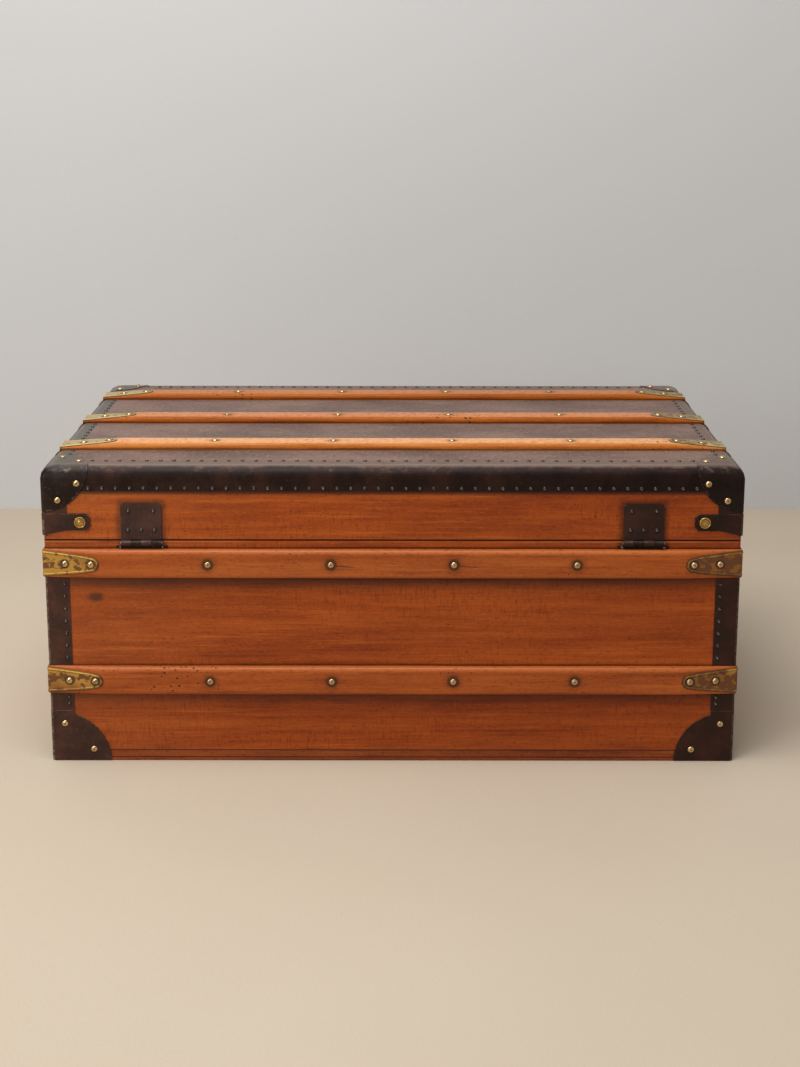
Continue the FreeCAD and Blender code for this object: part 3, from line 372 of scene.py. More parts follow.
def slat_wood(name, centre, up_axis, foot, tones, bright, pith, seed, bored_at, gloss, split=0.0):
    """Finish of one level of slats, nailed along their middle, with one wormy stretch."""
    finish = Finish(name)
    colour, fibre, rings = grained(finish, "x", tones, pith, seed, 0.0060, 0.22)[:3]
    spots = finish.axes()
    x = spots[0]
    off = spots[up_axis] - centre
    on_lid = up_axis == 1
    rub = finish.noise(9, 3.0, (seed, 0, 0), 0.6)
    grit = finish.noise((160, 160, 420), 3.0, (seed, 2, 1), 0.65)
    # painted highlight, broken up like wear: across a lid slat's flat top, along a side slat's upper edge
    if on_lid:
        wear_and_highlight = (abs(off) + (rub - 0.5) * 0.004).ease(0.0175, 0.0120) * grit.ease(0.20, 0.60)
    else:
        wear_and_highlight = (off + (rub - 0.5) * 0.004 + (grit - 0.5) * 0.004).ease(0.0122, 0.0155)
        wear_and_highlight = wear_and_highlight * grit.ease(0.28, 0.50)
    # painted shade, with some soiling, along the foot of a slat where it meets the board or canvas
    bed = spots[2] - foot if on_lid else foot - abs(spots[1])
    foot_shade_and_dirt = abs(bed) + (rub - 0.5) * 0.005 + (grit - 0.5) * 0.002
    line, depth, halo_depth = (0.0036, 0.65, 0.5) if on_lid else (0.0042, 0.85, 0.8)
    side = x.math("WRAP", NAIL_PITCH, 0.0) - NAIL_PITCH / 2
    from_nail = distance(side, off) + (rub - 0.5) * 0.004
    halo = from_nail.ease(0.0095, 0.0048) + from_nail.ease(0.0170, 0.0060) * 0.35
    halo = halo.least(1.0) * abs(x).ease(NAILS_END, NAILS_END - 0.010) * halo_depth
    tail = finish.noise((30, 30, 300), 2.0, (seed, 4, 0))
    crack = abs(off + side * 0.08 + (tail - 0.5) * 0.003 + 0.0008).ease(0.0011, 0.0003)
    crack = crack * side.ease(0.005, 0.008) * side.ease(0.034, 0.024) * abs(x).ease(0.150, 0.140) * split
    hole = finish.cells((125, 125, 150))
    cluster = (abs(x - bored_at) + (rub - 0.5) * 0.12).ease(0.060, 0.030)
    stray = finish.noise(11, 1.0, (seed, 1, 5)).ease(0.58, 0.64)
    bored = (hole.ease(0.23, 0.16) * cluster + hole.ease(0.16, 0.10) * stray).least(1.0)
    colour = finish.paint(colour, (wear_and_highlight * 0.85, bright), (foot_shade_and_dirt.ease(line, 0.0016) * depth, GRIME_AND_SHADE),
                          (halo, NAIL_STAIN), (crack * 0.85, NAIL_STAIN), (bored * 0.9, "1C0D07"))
    height = fibre * 0.5 + rings * 0.35 - bored * 3.0 - crack * 2.0
    return finish.lay(colour, fibre * 0.14 + 0.36, height, 0.0004, 0.5,
                      {"Specular IOR Level": gloss, "Coat Weight": gloss * 0.4, "Coat Roughness": 0.25})


board_y = -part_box("back_board")[0].y
for level, pair, seed, bored_at, split in (("lower", SLAT_LOW, 51.0, WORM_SPOT, 0.0),
                                           ("upper", SLAT_HIGH, 57.0, NO_WORM, 1.0)):
    centre = middle(pair, 2)
    wood = slat_wood("slat_wood_" + level, centre, 2, board_y, SLAT_TONES, "B4602A", (-0.11, centre - 0.05),
                     seed, bored_at, 0.24, split)
    finish_node(wood, "slat_back_" + level, "slat_front_" + level)
LID_SLATS = (("back", NEAR_TONES, "E0A878"), ("middle", FAR_TONES, "CA885C"), ("front", FAR_TONES, "B87C50"))
for index, (name, tones, bright) in enumerate(LID_SLATS):
    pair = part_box("lid_slat_" + name)
    centre = middle(pair, 1)
    finish_node(slat_wood("slat_wood_top_" + name, centre, 1, pair[0].z, tones, bright, (centre + 0.04, 0.30),
                          63.0 + index * 5.0, 0.38 - index * 0.3, 0.10), "lid_slat_" + name)


# ------------------------------------------------------------------ sheet edging, caps and straps
# Dark japanned sheet: rolled edging along the lid, pressed caps and shoes at the corners, folded
# strips and straps. The black has worn brown, and faces turned up are dusty, grey on the left, with a painted
# sheen.
EDGE_LOW, EDGE_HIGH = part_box("lid_edging_back")
CAP_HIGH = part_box("lid_caps")[1]
CAP_REACH = 0.062
RIM_IN = 0.0016             # line inside the rim of a cap, worn and painted as a highlight
RIM_LINE = 0.0010
DUST_AND_SHEEN = "7A6458"
GREY_DUST_AND_SHEEN = "6A655C"
RUST = "5A2A15"
RIGHT_SIDE_SHADE = "C4B4AC"         # painted shade: the trunk's right side darker, as if lit from the left


def japanned(name, dark, brown, worn, rub=0.7, dusting_and_sheen=0.0, dull=0.42, rim=False):
    """Black stoved on sheet iron, worn at its edges, dusty with a painted sheen where it faces up, painted
    darker on the right.
    """
    finish = Finish(name)
    x, y, z = finish.axes()
    up = finish.turned_to(2)
    speckle = finish.noise(420, 2.0, (1, 2, 3))
    cloud = finish.noise(26, 4.0, (4, 1, 0), 0.6)
    drag = finish.noise((30, 30, 220), 3.0, (2, 2, 2), 0.6)
    scar = finish.noise((90, 90, 160), 4.0, (0, 5, 2), 0.7)
    # faces turned up: dusty, grey on the left, with a painted sheen
    top_dust_and_sheen = (up + (cloud - 0.5) * 0.14 + (scar - 0.5) * 0.16).ease(0.74, 0.95)
    # painted highlight along the upper turn of a roll, dusty there too
    dusty_highlight = (up + (scar - 0.5) * 0.06).ease(0.88, 0.95) * up.ease(0.998, 0.97)
    # on the edging and caps, a painted highlight along the roll, broken up like wear; elsewhere, wear on the
    # edges
    if dusting_and_sheen:
        wear_and_highlight = up.ease(0.35, 0.60) * up.ease(0.93, 0.80) * scar.ease(0.50, 0.64) * cloud.ease(0.44, 0.60)
    else:
        wear_and_highlight = finish.edge_wear(0.985, 0.86) * scar.ease(0.40, 0.62)
    bare = scar.ease(0.66, 0.74) * drag.ease(0.5, 0.7)
    rust = drag.ease(0.62, 0.76) * cloud.ease(0.52, 0.66)
    colour = finish.blend(cloud.ease(0.40, 0.68), dark, brown)
    colour = finish.paint(colour, (speckle.ease(0.62, 0.80) * 0.22, worn),
                          (top_dust_and_sheen * dusting_and_sheen, finish.blend(x.ease(-0.385, -0.424), DUST_AND_SHEEN, GREY_DUST_AND_SHEEN)),
                          (dusty_highlight * dusting_and_sheen * 0.35, "93857A"), (wear_and_highlight * rub, worn), (bare * 0.5, worn),
                          (rust * 0.55, RUST))
    if rim:
        # round a cap's rim: a worn line painted as a highlight, and painted shade along the edge
        far = distance(abs(x) - CAP_HIGH.x, abs(y) - CAP_HIGH.y, z - CAP_HIGH.z)
        line = abs(far - (CAP_REACH - RIM_IN)).ease(RIM_LINE, RIM_LINE * 0.4)
        colour = finish.paint(colour, (line * scar.ease(0.50, 0.60) * 0.35, worn),
                              (far.ease(CAP_REACH - RIM_IN * 0.5, CAP_REACH - 0.0001), dark))
    # painted shade: the right of the trunk darker, except on faces turned up
    colour = finish.stain(colour, (x.ease(-0.25, 0.42) * up.ease(0.90, 0.40), RIGHT_SIDE_SHADE))
    height = cloud * 0.6 + speckle * 0.25 - bare * 0.4 + scar * 0.3
    return finish.lay(colour, speckle * 0.14 + cloud * 0.16 + (dull - 0.12), height, 0.0006, 0.5,
                      {"Specular IOR Level": 0.16, "Metallic": wear_and_highlight * 0.3 + bare * 0.3})


def finished_mesh(form, name, material=None):
    """Turns a form into an object with smooth faces."""
    mesh = bpy.data.meshes.new(name)
    form.to_mesh(mesh)
    form.free()
    for face in mesh.polygons:
        face.use_smooth = True
    if material:
        mesh.materials.append(material)
    made = bpy.data.objects.new(name, mesh)
    bpy.context.scene.collection.objects.link(made)
    return made


def fitted(piece, body, slot, *stands_for):
    """Fixes a piece to its body, in place of the plain nodes that it stands for."""
    for node in stands_for:
        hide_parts(node)
    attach(piece, body)


DOUBLES = 0.00002           # closer points are one point
CREASE = math.radians(40)


def eased_sheet(name, body, node, slot, material, edge):
    """Sheet with its cut edges eased, standing for a sharp-edged node."""
    form = bmesh.new()
    form.from_mesh(nodes[node].data)
    bmesh.ops.remove_doubles(form, verts=form.verts[:], dist=DOUBLES)
    bmesh.ops.dissolve_limit(form, angle_limit=math.radians(0.5), verts=form.verts[:], edges=form.edges[:])
    piece = finished_mesh(form, name, material)
    piece.data.set_sharp_from_angle(angle=CREASE)
    easing = piece.modifiers.new("eased_edges", "BEVEL")
    easing.width = edge
    easing.segments = 2
    easing.limit_method = "ANGLE"
    easing.angle_limit = CREASE
    easing.harden_normals = True
    fitted(piece, body, slot, node)


EDGING = japanned("japanned_edging", "1B0A05", "30190F", "76675C", 0.24, 0.75)
CAP_IRON = japanned("japanned_caps", "1D110C", "2E1F18", "82766C", 0.45, 0.55, 0.33, True)
STRAP_IRON = japanned("japanned_straps", "2E1E18", "44291F", "8E7869", 0.75)
CORNER_IRON = japanned("japanned_corners", "38241C", "4E3026", "8E7869", 0.75)
finish_node(EDGING, "lid_edging_back", "lid_edging_front", "lid_edging_left", "lid_edging_right")
eased_sheet("corner_caps", "lid", "lid_caps", "edging_iron", CAP_IRON, 0.0004)
for name, body, node, material, edge in (
        ("corner_straps", "lid", "lid_straps", STRAP_IRON, 0.0004),
        ("corner_strips_lid", "lid", "lid_corner_strips", CORNER_IRON, 0.0003),
        ("corner_strips_case", "case", "case_corner_strips", CORNER_IRON, 0.0003),
        ("foot_shoes", "case", "corner_shoes", CORNER_IRON, 0.0004)):
    eased_sheet(name, body, node, "strap_iron", material, edge)


# ------------------------------------------------------------------ canvas of the lid
# Painted canvas glued over the lid's top board, its weave filled with paint and dirt and
# rubbed between the slats.
THREAD_PITCH = 0.0013


def painted_canvas(name):
    finish = Finish(name)
    warp, weft = [(axis * (2 * math.pi / THREAD_PITCH)).math("SINE") for axis in finish.axes()[:2]]
    weave = warp * weft * 0.5 + 0.5
    slub = finish.noise((60, 500, 60))
    cloud = finish.noise((7, 14, 7), 4.0, (1, 0, 0), 0.6)
    rub = finish.noise((40, 90, 40), 4.0, (0, 3, 0), 0.65)
    mottle = finish.noise((190, 110, 100), 4.0, (5, 0, 2), 0.7)
    scratch = finish.noise((420, 45, 45), 3.0, (0, 0, 3), 0.6)
    colour = finish.blend(cloud.ease(0.35, 0.65), "624B41", "7E6256")
    colour = finish.stain(colour, (mottle.ease(0.52, 0.70) * 0.50, "8A7468"))
    colour = finish.paint(colour, (mottle.ease(0.46, 0.30) * 0.40, "9A8276"),
                          (rub.ease(0.55, 0.75) * 0.5, "927A6D"),
                          (scratch.ease(0.60, 0.74) * 0.50, "A8968A"))
    colour = finish.stain(colour, (weave.ease(0.30, 0.75) * 0.18, "75625A"))
    return finish.lay(colour, rub * 0.20 + 0.42, weave + slub * 0.6, 0.00016, 0.7)


finish_node(painted_canvas("painted_canvas"), "lid_canvas")


# ------------------------------------------------------------------ rivets of the edging and strips
# Small domed iron rivets close the edging, the folded strips and the hinge leaves. Each is set
# with a hammer, so no two sit quite alike.
def arc(radius, start, end, steps, height=None):
    """Points on a round line, or on an oval one of another height, between two angles."""
    turns = [start + (end - start) * index / steps for index in range(steps + 1)]
    return [(radius * math.cos(turn), (height or radius) * math.sin(turn)) for turn in turns]


def circle(radius, sides):
    return arc(radius, 0.0, 2 * math.pi, sides)[:-1]


def ring_at(form, outline, level):
    return [form.verts.new((x, y, level)) for x, y in outline]


def bridge(form, rings):
    """Closes the wall between each ring of points and the next."""
    for lower, upper in zip(rings, rings[1:]):
        for index in range(len(lower)):
            ahead = (index + 1) % len(lower)
            form.faces.new((lower[index], lower[ahead], upper[ahead], upper[index]))


def turned(name, profile, sides):
    """A head turned on the Z axis from its rim up to its crown."""
    form = bmesh.new()
    crown = form.verts.layers.float.new("crown")
    rings = [ring_at(form, circle(radius, sides), height) for radius, height in profile]
    for ring, (radius, height) in zip(rings, profile):
        for vert in ring:
            vert[crown] = height / profile[-1][1]
    bridge(form, rings)
    form.faces.new(rings[-1])
    return finished_mesh(form, name)


def dome(radius, height, steps, crown=0.12):
    """Profile of a round head, a little flat at its crown."""
    return arc(radius, 0.0, math.pi / 2 - crown, steps, height)


def setting_tree():
    """Sets a head on every point, facing out along one of the point's directions."""
    tree = bpy.data.node_groups.new("set_heads", "GeometryNodeTree")
    for name, kind in (("Points", "Geometry"), ("Head", "Object"), ("Size", "Float"),
                       ("Size spread", "Float"), ("Lean", "Float"), ("Seed", "Int"), ("Finish", "Material")):
        tree.interface.new_socket(name, in_out="INPUT", socket_type="NodeSocket" + kind)
    tree.interface.new_socket("Heads", in_out="OUTPUT", socket_type="NodeSocketGeometry")
    given = tree.nodes.new("NodeGroupInput").outputs

    def add(kind, inputs, output=0, **settings):
        """Adds a node of any kind and returns one of its outputs."""
        made = tree.nodes.new(kind)
        for key, value in settings.items():
            setattr(made, key, value)
        for key, value in inputs.items():
            if isinstance(value, bpy.types.NodeSocket):
                tree.links.new(value, made.inputs[key])
            else:
                made.inputs[key].default_value = value
        return made.outputs[output]

    def direction(name):
        return add("GeometryNodeInputNamedAttribute", {"Name": name}, "Attribute", data_type="FLOAT_VECTOR")

    lean = {"Seed": given["Seed"]}
    for key, way in (("Min", -1.0), ("Max", 1.0)):
        lean[key] = add("ShaderNodeVectorMath", {0: (way, way, way), "Scale": given["Lean"]},
                        operation="SCALE")
    lean = add("FunctionNodeRandomValue", lean, "Value", data_type="FLOAT_VECTOR")
    leant = add("ShaderNodeVectorMath", {0: direction("outward"), 1: lean})
    turn = add("FunctionNodeAlignRotationToVector", {"Vector": leant}, axis="Z")
    turn = add("FunctionNodeAlignRotationToVector", {"Rotation": turn, "Vector": direction("along")},
               axis="X", pivot_axis="Z")
    size = {"Seed": given["Seed"]}
    for key, way in ((2, "SUBTRACT"), (3, "ADD")):
        size[key] = add("ShaderNodeMath", {0: given["Size"], 1: given["Size spread"]}, operation=way)
    size = add("FunctionNodeRandomValue", size, 1, data_type="FLOAT")
    head = add("GeometryNodeObjectInfo", {"Object": given["Head"]}, "Geometry")
    placed = add("GeometryNodeInstanceOnPoints",
                 {"Points": given["Points"], "Instance": head, "Rotation": turn, "Scale": size})
    whole = add("GeometryNodeRealizeInstances", {0: placed})
    finished = add("GeometryNodeSetMaterial", {"Geometry": whole, "Material": given["Finish"]})
    tree.links.new(finished, tree.nodes.new("NodeGroupOutput").inputs["Heads"])
    return tree


SETTING = setting_tree()


def set_heads(name, body, slot, head, spots, material, spread, lean, seed, *stands_for):
    """Makes one plain mesh of heads; a spot is its place, the way it faces and, at need, its run."""
    mesh = bpy.data.meshes.new(name + "_spots")
    mesh.from_pydata([spot[0] for spot in spots], [], [])
    for index, key in ((1, "outward"), (2, "along")):
        layer = mesh.attributes.new(key, "FLOAT_VECTOR", "POINT")
        for point, spot in zip(layer.data, spots):
            point.vector = spot[index] if len(spot) > index else (spot[1][1], spot[1][2], spot[1][0])
    piece = bpy.data.objects.new(name, mesh)
    bpy.context.scene.collection.objects.link(piece)
    modifier = piece.modifiers.new("setting", "NODES")
    modifier.node_group = SETTING
    given = {"Head": head, "Size": 1.0, "Size spread": spread, "Lean": lean, "Seed": seed, "Finish": material}
    for item in SETTING.interface.items_tree:
        if item.name in given:
            modifier[item.identifier] = given[item.name]
    bpy.context.view_layer.update()
    graph = bpy.context.evaluated_depsgraph_get()
    made = bpy.data.meshes.new_from_object(piece.evaluated_get(graph))
    piece.modifiers.remove(modifier)
    made.name = name
    piece.data = made
    made.materials.clear()
    made.materials.append(material)
    fitted(piece, body, slot, *stands_for)


def facing(axis, side=1):
    """The way out along an axis."""
    return tuple(side if index == axis else 0 for index in range(3))


def struck_iron(name):
    """Iron heads, black, with a painted glint on the crown, worn bright there too, and a pale ring of painted
    reflection near the foot.
    """
    finish = Finish(name)
    crown = finish.carried("crown")
    fine = finish.noise(500)
    # painted glint: the crown lighter and more metallic, worn bright there too
    worn = (crown + (fine - 0.5) * 0.3).ease(0.90, 1.02)
    # painted reflection: a pale ring near the foot
    ring = abs(crown - 0.10 + (fine - 0.5) * 0.1).ease(0.12, 0.04)
    colour = finish.blend((worn * 0.62).most(ring * 0.25), "1E120D", "B8AA9C")
    return finish.lay(colour, fine * 0.10 + 0.16, fine, 0.0001, 0.4,
                      {"Specular IOR Level": 0.65, "Metallic": worn * 0.4 + 0.3})


RIVET_PITCH = 0.0177
RIVET_UP = 0.0035           # above the lower edge of the edging
RIVET_IN = 0.0270           # in from the outside of the lid
RIVET_R = 0.0028
RIVET_H = 0.0017
CAP_GAP = 0.0075            # from a cap's rim to the first rivet
SLAT_GAP = 0.003
CORNERS = [(side, face) for side in (-1, 1) for face in (-1, 1)]
EDGE_OUT = (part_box("lid_edging_right")[1].x, -EDGE_LOW.y)
slat_middles = [middle(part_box("lid_slat_" + name), 1) for name in ("back", "middle", "front")]
slat_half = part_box("lid_slat_middle")[1].y - slat_middles[1]


def row(low, high):
    """Evenly spaced places between two ends."""
    count = max(1, round((high - low) / RIVET_PITCH))
    return [low + (high - low) * index / count for index in range(count + 1)]


lid_rivets = []
for run in (0, 1):
    out = 1 - run
    for level, inset in ((EDGE_LOW.z + RIVET_UP, 0.0), (EDGE_HIGH.z, RIVET_IN)):
        # a row stops where it meets the ball that the pressed caps are cut to
        off = inset or CAP_HIGH[out] - EDGE_OUT[out]
        reach = CAP_HIGH[run] - math.sqrt(CAP_REACH ** 2 - (CAP_HIGH.z - level) ** 2 - off ** 2) - CAP_GAP
        for place in row(-reach, reach):
            if run == 1 and min(abs(place - centre) for centre in slat_middles) <= slat_half + SLAT_GAP:
                continue
            for side in (-1, 1):
                spot = [place, place, level]
                spot[out] = side * (EDGE_OUT[out] - inset)
                lid_rivets.append((tuple(spot), facing(2) if inset else facing(out, side)))

STRIP_RIVET_IN = 0.0255
STRIP_END = 0.010           # from a strip's foot, or a slat, to its first rivet
SHOE_END = 0.006
STRIP_TOP = 0.012
SLAT_CLEAR = 0.020          # from a slat's middle
strip_low, strip_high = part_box("case_corner_strips")
strip_rivets = []
for low, high in ((strip_low.z + STRIP_END, SLAT_LOW[0].z - SHOE_END),
                  (SLAT_LOW[1].z + STRIP_END, SLAT_HIGH[0].z - STRIP_END)):
    for z in row(low, high):
        strip_rivets += [((side * (strip_high.x - STRIP_RIVET_IN), face * strip_high.y, z), facing(1, face))
                         for side, face in CORNERS]
for z in row(strip_low.z + STRIP_END, strip_high.z - STRIP_TOP):
    if min(abs(z - middle(pair, 2)) for pair in (SLAT_LOW, SLAT_HIGH)) > SLAT_CLEAR:
        strip_rivets += [((side * strip_high.x, face * (strip_high.y - STRIP_RIVET_IN), z), facing(0, side))
                         for side, face in CORNERS]
RIVET_IRON = struck_iron("rivet_iron")
rivet = turned("rivet", dome(RIVET_R, RIVET_H, 4), 12)
set_heads("edging_rivets", "lid", "nails", rivet, lid_rivets, RIVET_IRON, 0.06, 0.06, 3)
set_heads("strip_rivets", "case", "nails", rivet, strip_rivets, RIVET_IRON, 0.06, 0.06, 5)


# ------------------------------------------------------------------ slat clamps
# Pressed brass clamps, drawn in to a round nose, with a raised bead inside their edge. Each is
# folded over the end of its slat and nailed to the end board. The brass has gone brown in patches.
CLAMP_REACH = 0.0735
CLAMP_HALF = 0.0176
NOSE_R = 0.0100
NOSE_STEPS = 8
TAPER_STEPS = 12
WIDENING = 0.74             # below 1, the clamp swells soonest next to its nose
CLAMP_SKIN = 0.0010
FOLD_R = 0.0012
SLAT_ROUND = 0.0050
SLAT_HALF = 0.0190
SLAT_TIP = 0.0030           # thickness of a slat at its very end
TAB_CORNER = 0.0060
TAB_LENGTH = 0.0240
BEAD_IN = 0.0028
BEAD_HALF = 0.0009
BEAD_RISE = 0.0006
BEAD_ROUND = 0.7            # below 1, the bead's back is flatter than its feet
EDGE_SINK = 0.0003
CLAMP_INSETS = (0.0, 0.0004, 0.0010, 0.0019, 0.0022, 0.0025, 0.0028, 0.0031, 0.0034, 0.0037,
                0.0048, 0.0064, 0.0082)


def clamp_outline(inset, length, folds):
    """Half the flat outline of a clamp, from the nose round to the end of its tab."""
    points = [(NOSE_R - back, side) for back, side in arc(NOSE_R - inset, 0.0, math.pi / 2, NOSE_STEPS)]
    taper = CLAMP_REACH - NOSE_R
    for station in [NOSE_R + taper * index / TAPER_STEPS for index in range(1, TAPER_STEPS)] + folds:
        widen = min(1.0, (station - NOSE_R) / taper) ** WIDENING
        points.append((station, NOSE_R + (CLAMP_HALF - NOSE_R) * widen - inset))
    corner = max(TAB_CORNER - inset, 0.0002)
    along = length - max(TAB_CORNER, inset)
    across = CLAMP_HALF - max(TAB_CORNER, inset)
    points += [(along + end, across + side) for side, end in arc(corner, 0.0, math.pi / 2, 4)]
    return points + [(along + corner, across * 0.5)]


def clamp_form(path, bed):
    """Folds the flat clamp along a path of (out, up) points from its nose, over a slat on its bed."""
    runs = [0.0]
    for before, after in zip(path, path[1:]):
        runs.append(runs[-1] + math.dist(before, after))
    ahead = [(Vector(after) - Vector(before)).normalized() for before, after in zip(path, path[1:])]
    turns = [(first + second).normalized() for first, second in zip(ahead[:1] + ahead, ahead + ahead[-1:])]
    folds = [run for run in runs if CLAMP_REACH - 3 * FOLD_R < run < runs[-1] - 2 * TAB_CORNER]

    def folded(along, across, rise):
        """Point of the flat clamp after folding; its edges droop with the slat's rounded edges."""
        index = max(i for i in range(len(path) - 1) if runs[i] <= max(along, 0.0))
        part = (along - runs[index]) / (runs[index + 1] - runs[index])
        place = Vector(path[index]).lerp(Vector(path[index + 1]), part)
        turned_to = turns[index].lerp(turns[index + 1], part).normalized()
        height = min(1.0, max(0.0, (place.y - bed) / (path[0][1] - bed)))
        round_off = SLAT_ROUND * height
        over = min(max(0.0, abs(across) - (SLAT_HALF - round_off)), round_off * 0.9)
        droop = round_off - math.sqrt(round_off ** 2 - over ** 2)
        return Vector((place.x - turned_to.y * rise, across, place.y + turned_to.x * rise - droop))

    form = bmesh.new()
    inset_layer = form.verts.layers.float.new("inset")
    rings = []
    for inset in CLAMP_INSETS:
        half = clamp_outline(inset, runs[-1], folds)
        bead = max(0.0, 1.0 - ((inset - BEAD_IN) / BEAD_HALF) ** 2)
        rise = BEAD_RISE * bead ** BEAD_ROUND - (0.0 if inset else EDGE_SINK)
        outline = [(along, -across) for along, across in reversed(half[1:])] + half
        rings.append([form.verts.new(folded(along, across, rise)) for along, across in outline])
        for vert in rings[-1]:
            vert[inset_layer] = inset
    bridge(form, rings)
    last = rings[-1]
    nose = len(last) // 2
    for step in range(nose):
        near = (last[nose - step], last[nose - step - 1], last[nose + step + 1], last[nose + step])
        form.faces.new(near if step else near[:3])
    bmesh.ops.recalc_face_normals(form, faces=form.faces[:])
    return form


def clamp_set(name, body, form, places, replaced, material):
    """Joins placed clamps into one piece and gives the sheet its thickness."""
    pattern = bpy.data.meshes.new("clamp_pattern")
    form.to_mesh(pattern)
    form.free()
    whole = bmesh.new()
    whole.verts.layers.float.new("inset")
    for place in places:
        start = len(whole.verts)
        whole.from_mesh(pattern)
        whole.verts.ensure_lookup_table()
        added = whole.verts[start:]
        bmesh.ops.transform(whole, matrix=place, verts=added)
        if place.determinant() < 0:
            faces = {face for vert in added for face in vert.link_faces}
            bmesh.ops.reverse_faces(whole, faces=list(faces))
    piece = finished_mesh(whole, name, material)
    skin = piece.modifiers.new("skin", "SOLIDIFY")
    skin.thickness = CLAMP_SKIN * 0.9
    skin.offset = -1.0
    fitted(piece, body, "clamps", replaced)


def patched_brass(name, bright, dull, stain, patchy, metal, nails, rows, row_axis):
    """Old brass gone brown in patches, most of all round its nails and on the right of the trunk."""
    finish = Finish(name)
    inset = finish.carried("inset")
    spots = finish.axes()
    off = (spots[row_axis] - rows[0]).math("WRAP", rows[1] / 2, -rows[1] / 2)
    from_nail = distance(abs(abs(spots[0]) - nails[0]) - nails[1], off)
    right = spots[0].ease(-0.15, 0.30)
    cloud = finish.noise((105, 105, 130), 3.0, (3, 3, 1), 0.58)
    fine = finish.noise(500)
    broad = finish.noise(14, 2.0, (7, 0, 2))
    mottle = finish.noise((210, 210, 260), 3.0, (2, 6, 1), 0.6)
    core = abs(off).ease(0.0125, 0.0040) * 0.09 + right * 0.10
    patch = (cloud + core + (mottle - 0.5) * 0.22 + (fine - 0.5) * 0.10).ease(patchy, patchy + 0.08)
    halo = (from_nail + (cloud - 0.5) * 0.003).ease(0.0075, 0.0050)
    edge = inset.ease(0.0018, 0.0006) + abs(inset - 0.0041).ease(0.0008, 0.0002) * 0.6
    bead = abs(inset - BEAD_IN).ease(0.0006, 0.0001) * (1.0 - patch * 0.6)
    colour = finish.blend((broad + right * 0.12).ease(0.46, 0.62), bright, dull)
    colour = finish.paint(colour, (patch * 0.92, stain), (halo * 0.75, "26140A"),
                          (edge.least(1.0) * 0.7, "38200F"),
                          (bead * mottle.ease(0.42, 0.56) * 0.8, "CDA962"))
    return finish.lay(colour, fine * 0.2 + patch * 0.22 + 0.34, fine + cloud, 0.0002, 0.6,
                      {"Metallic": metal - patch * metal * 0.6})


def around(centre, radius, start, end, steps):
    return [(centre[0] + out, centre[1] + up) for out, up in arc(radius, start, end, steps)]


def ramp_path(end, bed, height):
    """From the nose down the tapered end of a slat and over the fold at its tip."""
    fall = (height - SLAT_TIP - CLAMP_SKIN) / CLAMP_REACH
    lean = math.atan(fall)
    fold = (end - FOLD_R, bed + SLAT_TIP + CLAMP_SKIN + fall * FOLD_R - FOLD_R / math.cos(lean))
    return [(end - CLAMP_REACH, bed + height)] + around(fold, FOLD_R, math.pi / 2 - lean, 0.0, 3)


case_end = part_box("case_clamps")[1].x
side_path = ramp_path(case_end, 0.0, -SLAT_LOW[0].y - board_y + CLAMP_SKIN)
side_form = clamp_form(side_path + [(case_end, 0.0), (case_end, -TAB_LENGTH)], 0.0)
# out runs along the slat, across runs up the case, and up points away from the board
side_places = [Matrix(((side, 0, 0, 0), (0, 0, face, face * board_y),
                       (0, 1, 0, middle(pair, 2)), (0, 0, 0, 1)))
               for side, face in CORNERS for pair in (SLAT_LOW, SLAT_HIGH)]

ROLL_OUT_R = 0.0180
lid_low, lid_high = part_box("lid_slat_back")
lid_end = lid_high.x + CLAMP_SKIN
roll_foot, roll_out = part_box("lid_clamps")[0].z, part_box("lid_clamps")[1].x
roll_centre = (roll_out - ROLL_OUT_R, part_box("lid_canvas")[1].z + CLAMP_SKIN - ROLL_OUT_R)
meet = math.acos((lid_end - roll_centre[0]) / ROLL_OUT_R)
top_path = ramp_path(lid_end, lid_low.z, lid_high.z - lid_low.z + CLAMP_SKIN)
top_path += around(roll_centre, ROLL_OUT_R, meet, 0.0, 6) + [(roll_out, roll_foot)]
top_form = clamp_form(top_path, lid_low.z)
top_places = [Matrix.Translation((0, y, 0)) @ Matrix.Diagonal((side, 1, 1, 1))
              for y in slat_middles for side in (-1, 1)]

NAILS_FROM_END = (0.029, 0.063)
nail_apart = (NAILS_FROM_END[1] - NAILS_FROM_END[0]) / 2
nail_middle = (NAILS_FROM_END[1] + NAILS_FROM_END[0]) / 2
side_rows = (middle(SLAT_LOW, 2), middle(SLAT_HIGH, 2) - middle(SLAT_LOW, 2))
SIDE_BRASS = patched_brass("brass_clamps_side", "BA8C3C", "905F2A", "60361A", 0.57, 0.62,
                           (case_end - nail_middle, nail_apart), side_rows, 2)
TOP_BRASS = patched_brass("brass_clamps_top", "B8A270", "A08A58", "6E5A3C", 0.66, 0.45,
                          (lid_end - nail_middle, nail_apart), (0.0, slat_middles[2]), 1)
clamp_set("clamps_case", "case", side_form, side_places, "case_clamps", SIDE_BRASS)
clamp_set("clamps_lid", "lid", top_form, top_places, "lid_clamps", TOP_BRASS)


# ------------------------------------------------------------------ hinges
# Two butt hinges of dark iron with steel pins. The upper leaf is riveted to the lid, the lower
# one to the case under the slat; the lower leaf with its knuckles is finished dull and nearly black.
HINGE_IRON = japanned("hinge_iron", "3A2620", "4C3229", "8E7A6E", 0.22, dull=0.44)
KNUCKLE_IRON = japanned("knuckle_iron", "20120D", "32201A", "8E7C70", 0.16, dull=0.60)
eased_sheet("hinge_leaf_lid", "lid", "hinge_leaves_lid", "hinge_iron", HINGE_IRON, 0.0004)
eased_sheet("hinge_leaf_case", "case", "hinge_leaves_case", "hinge_iron", KNUCKLE_IRON, 0.0003)


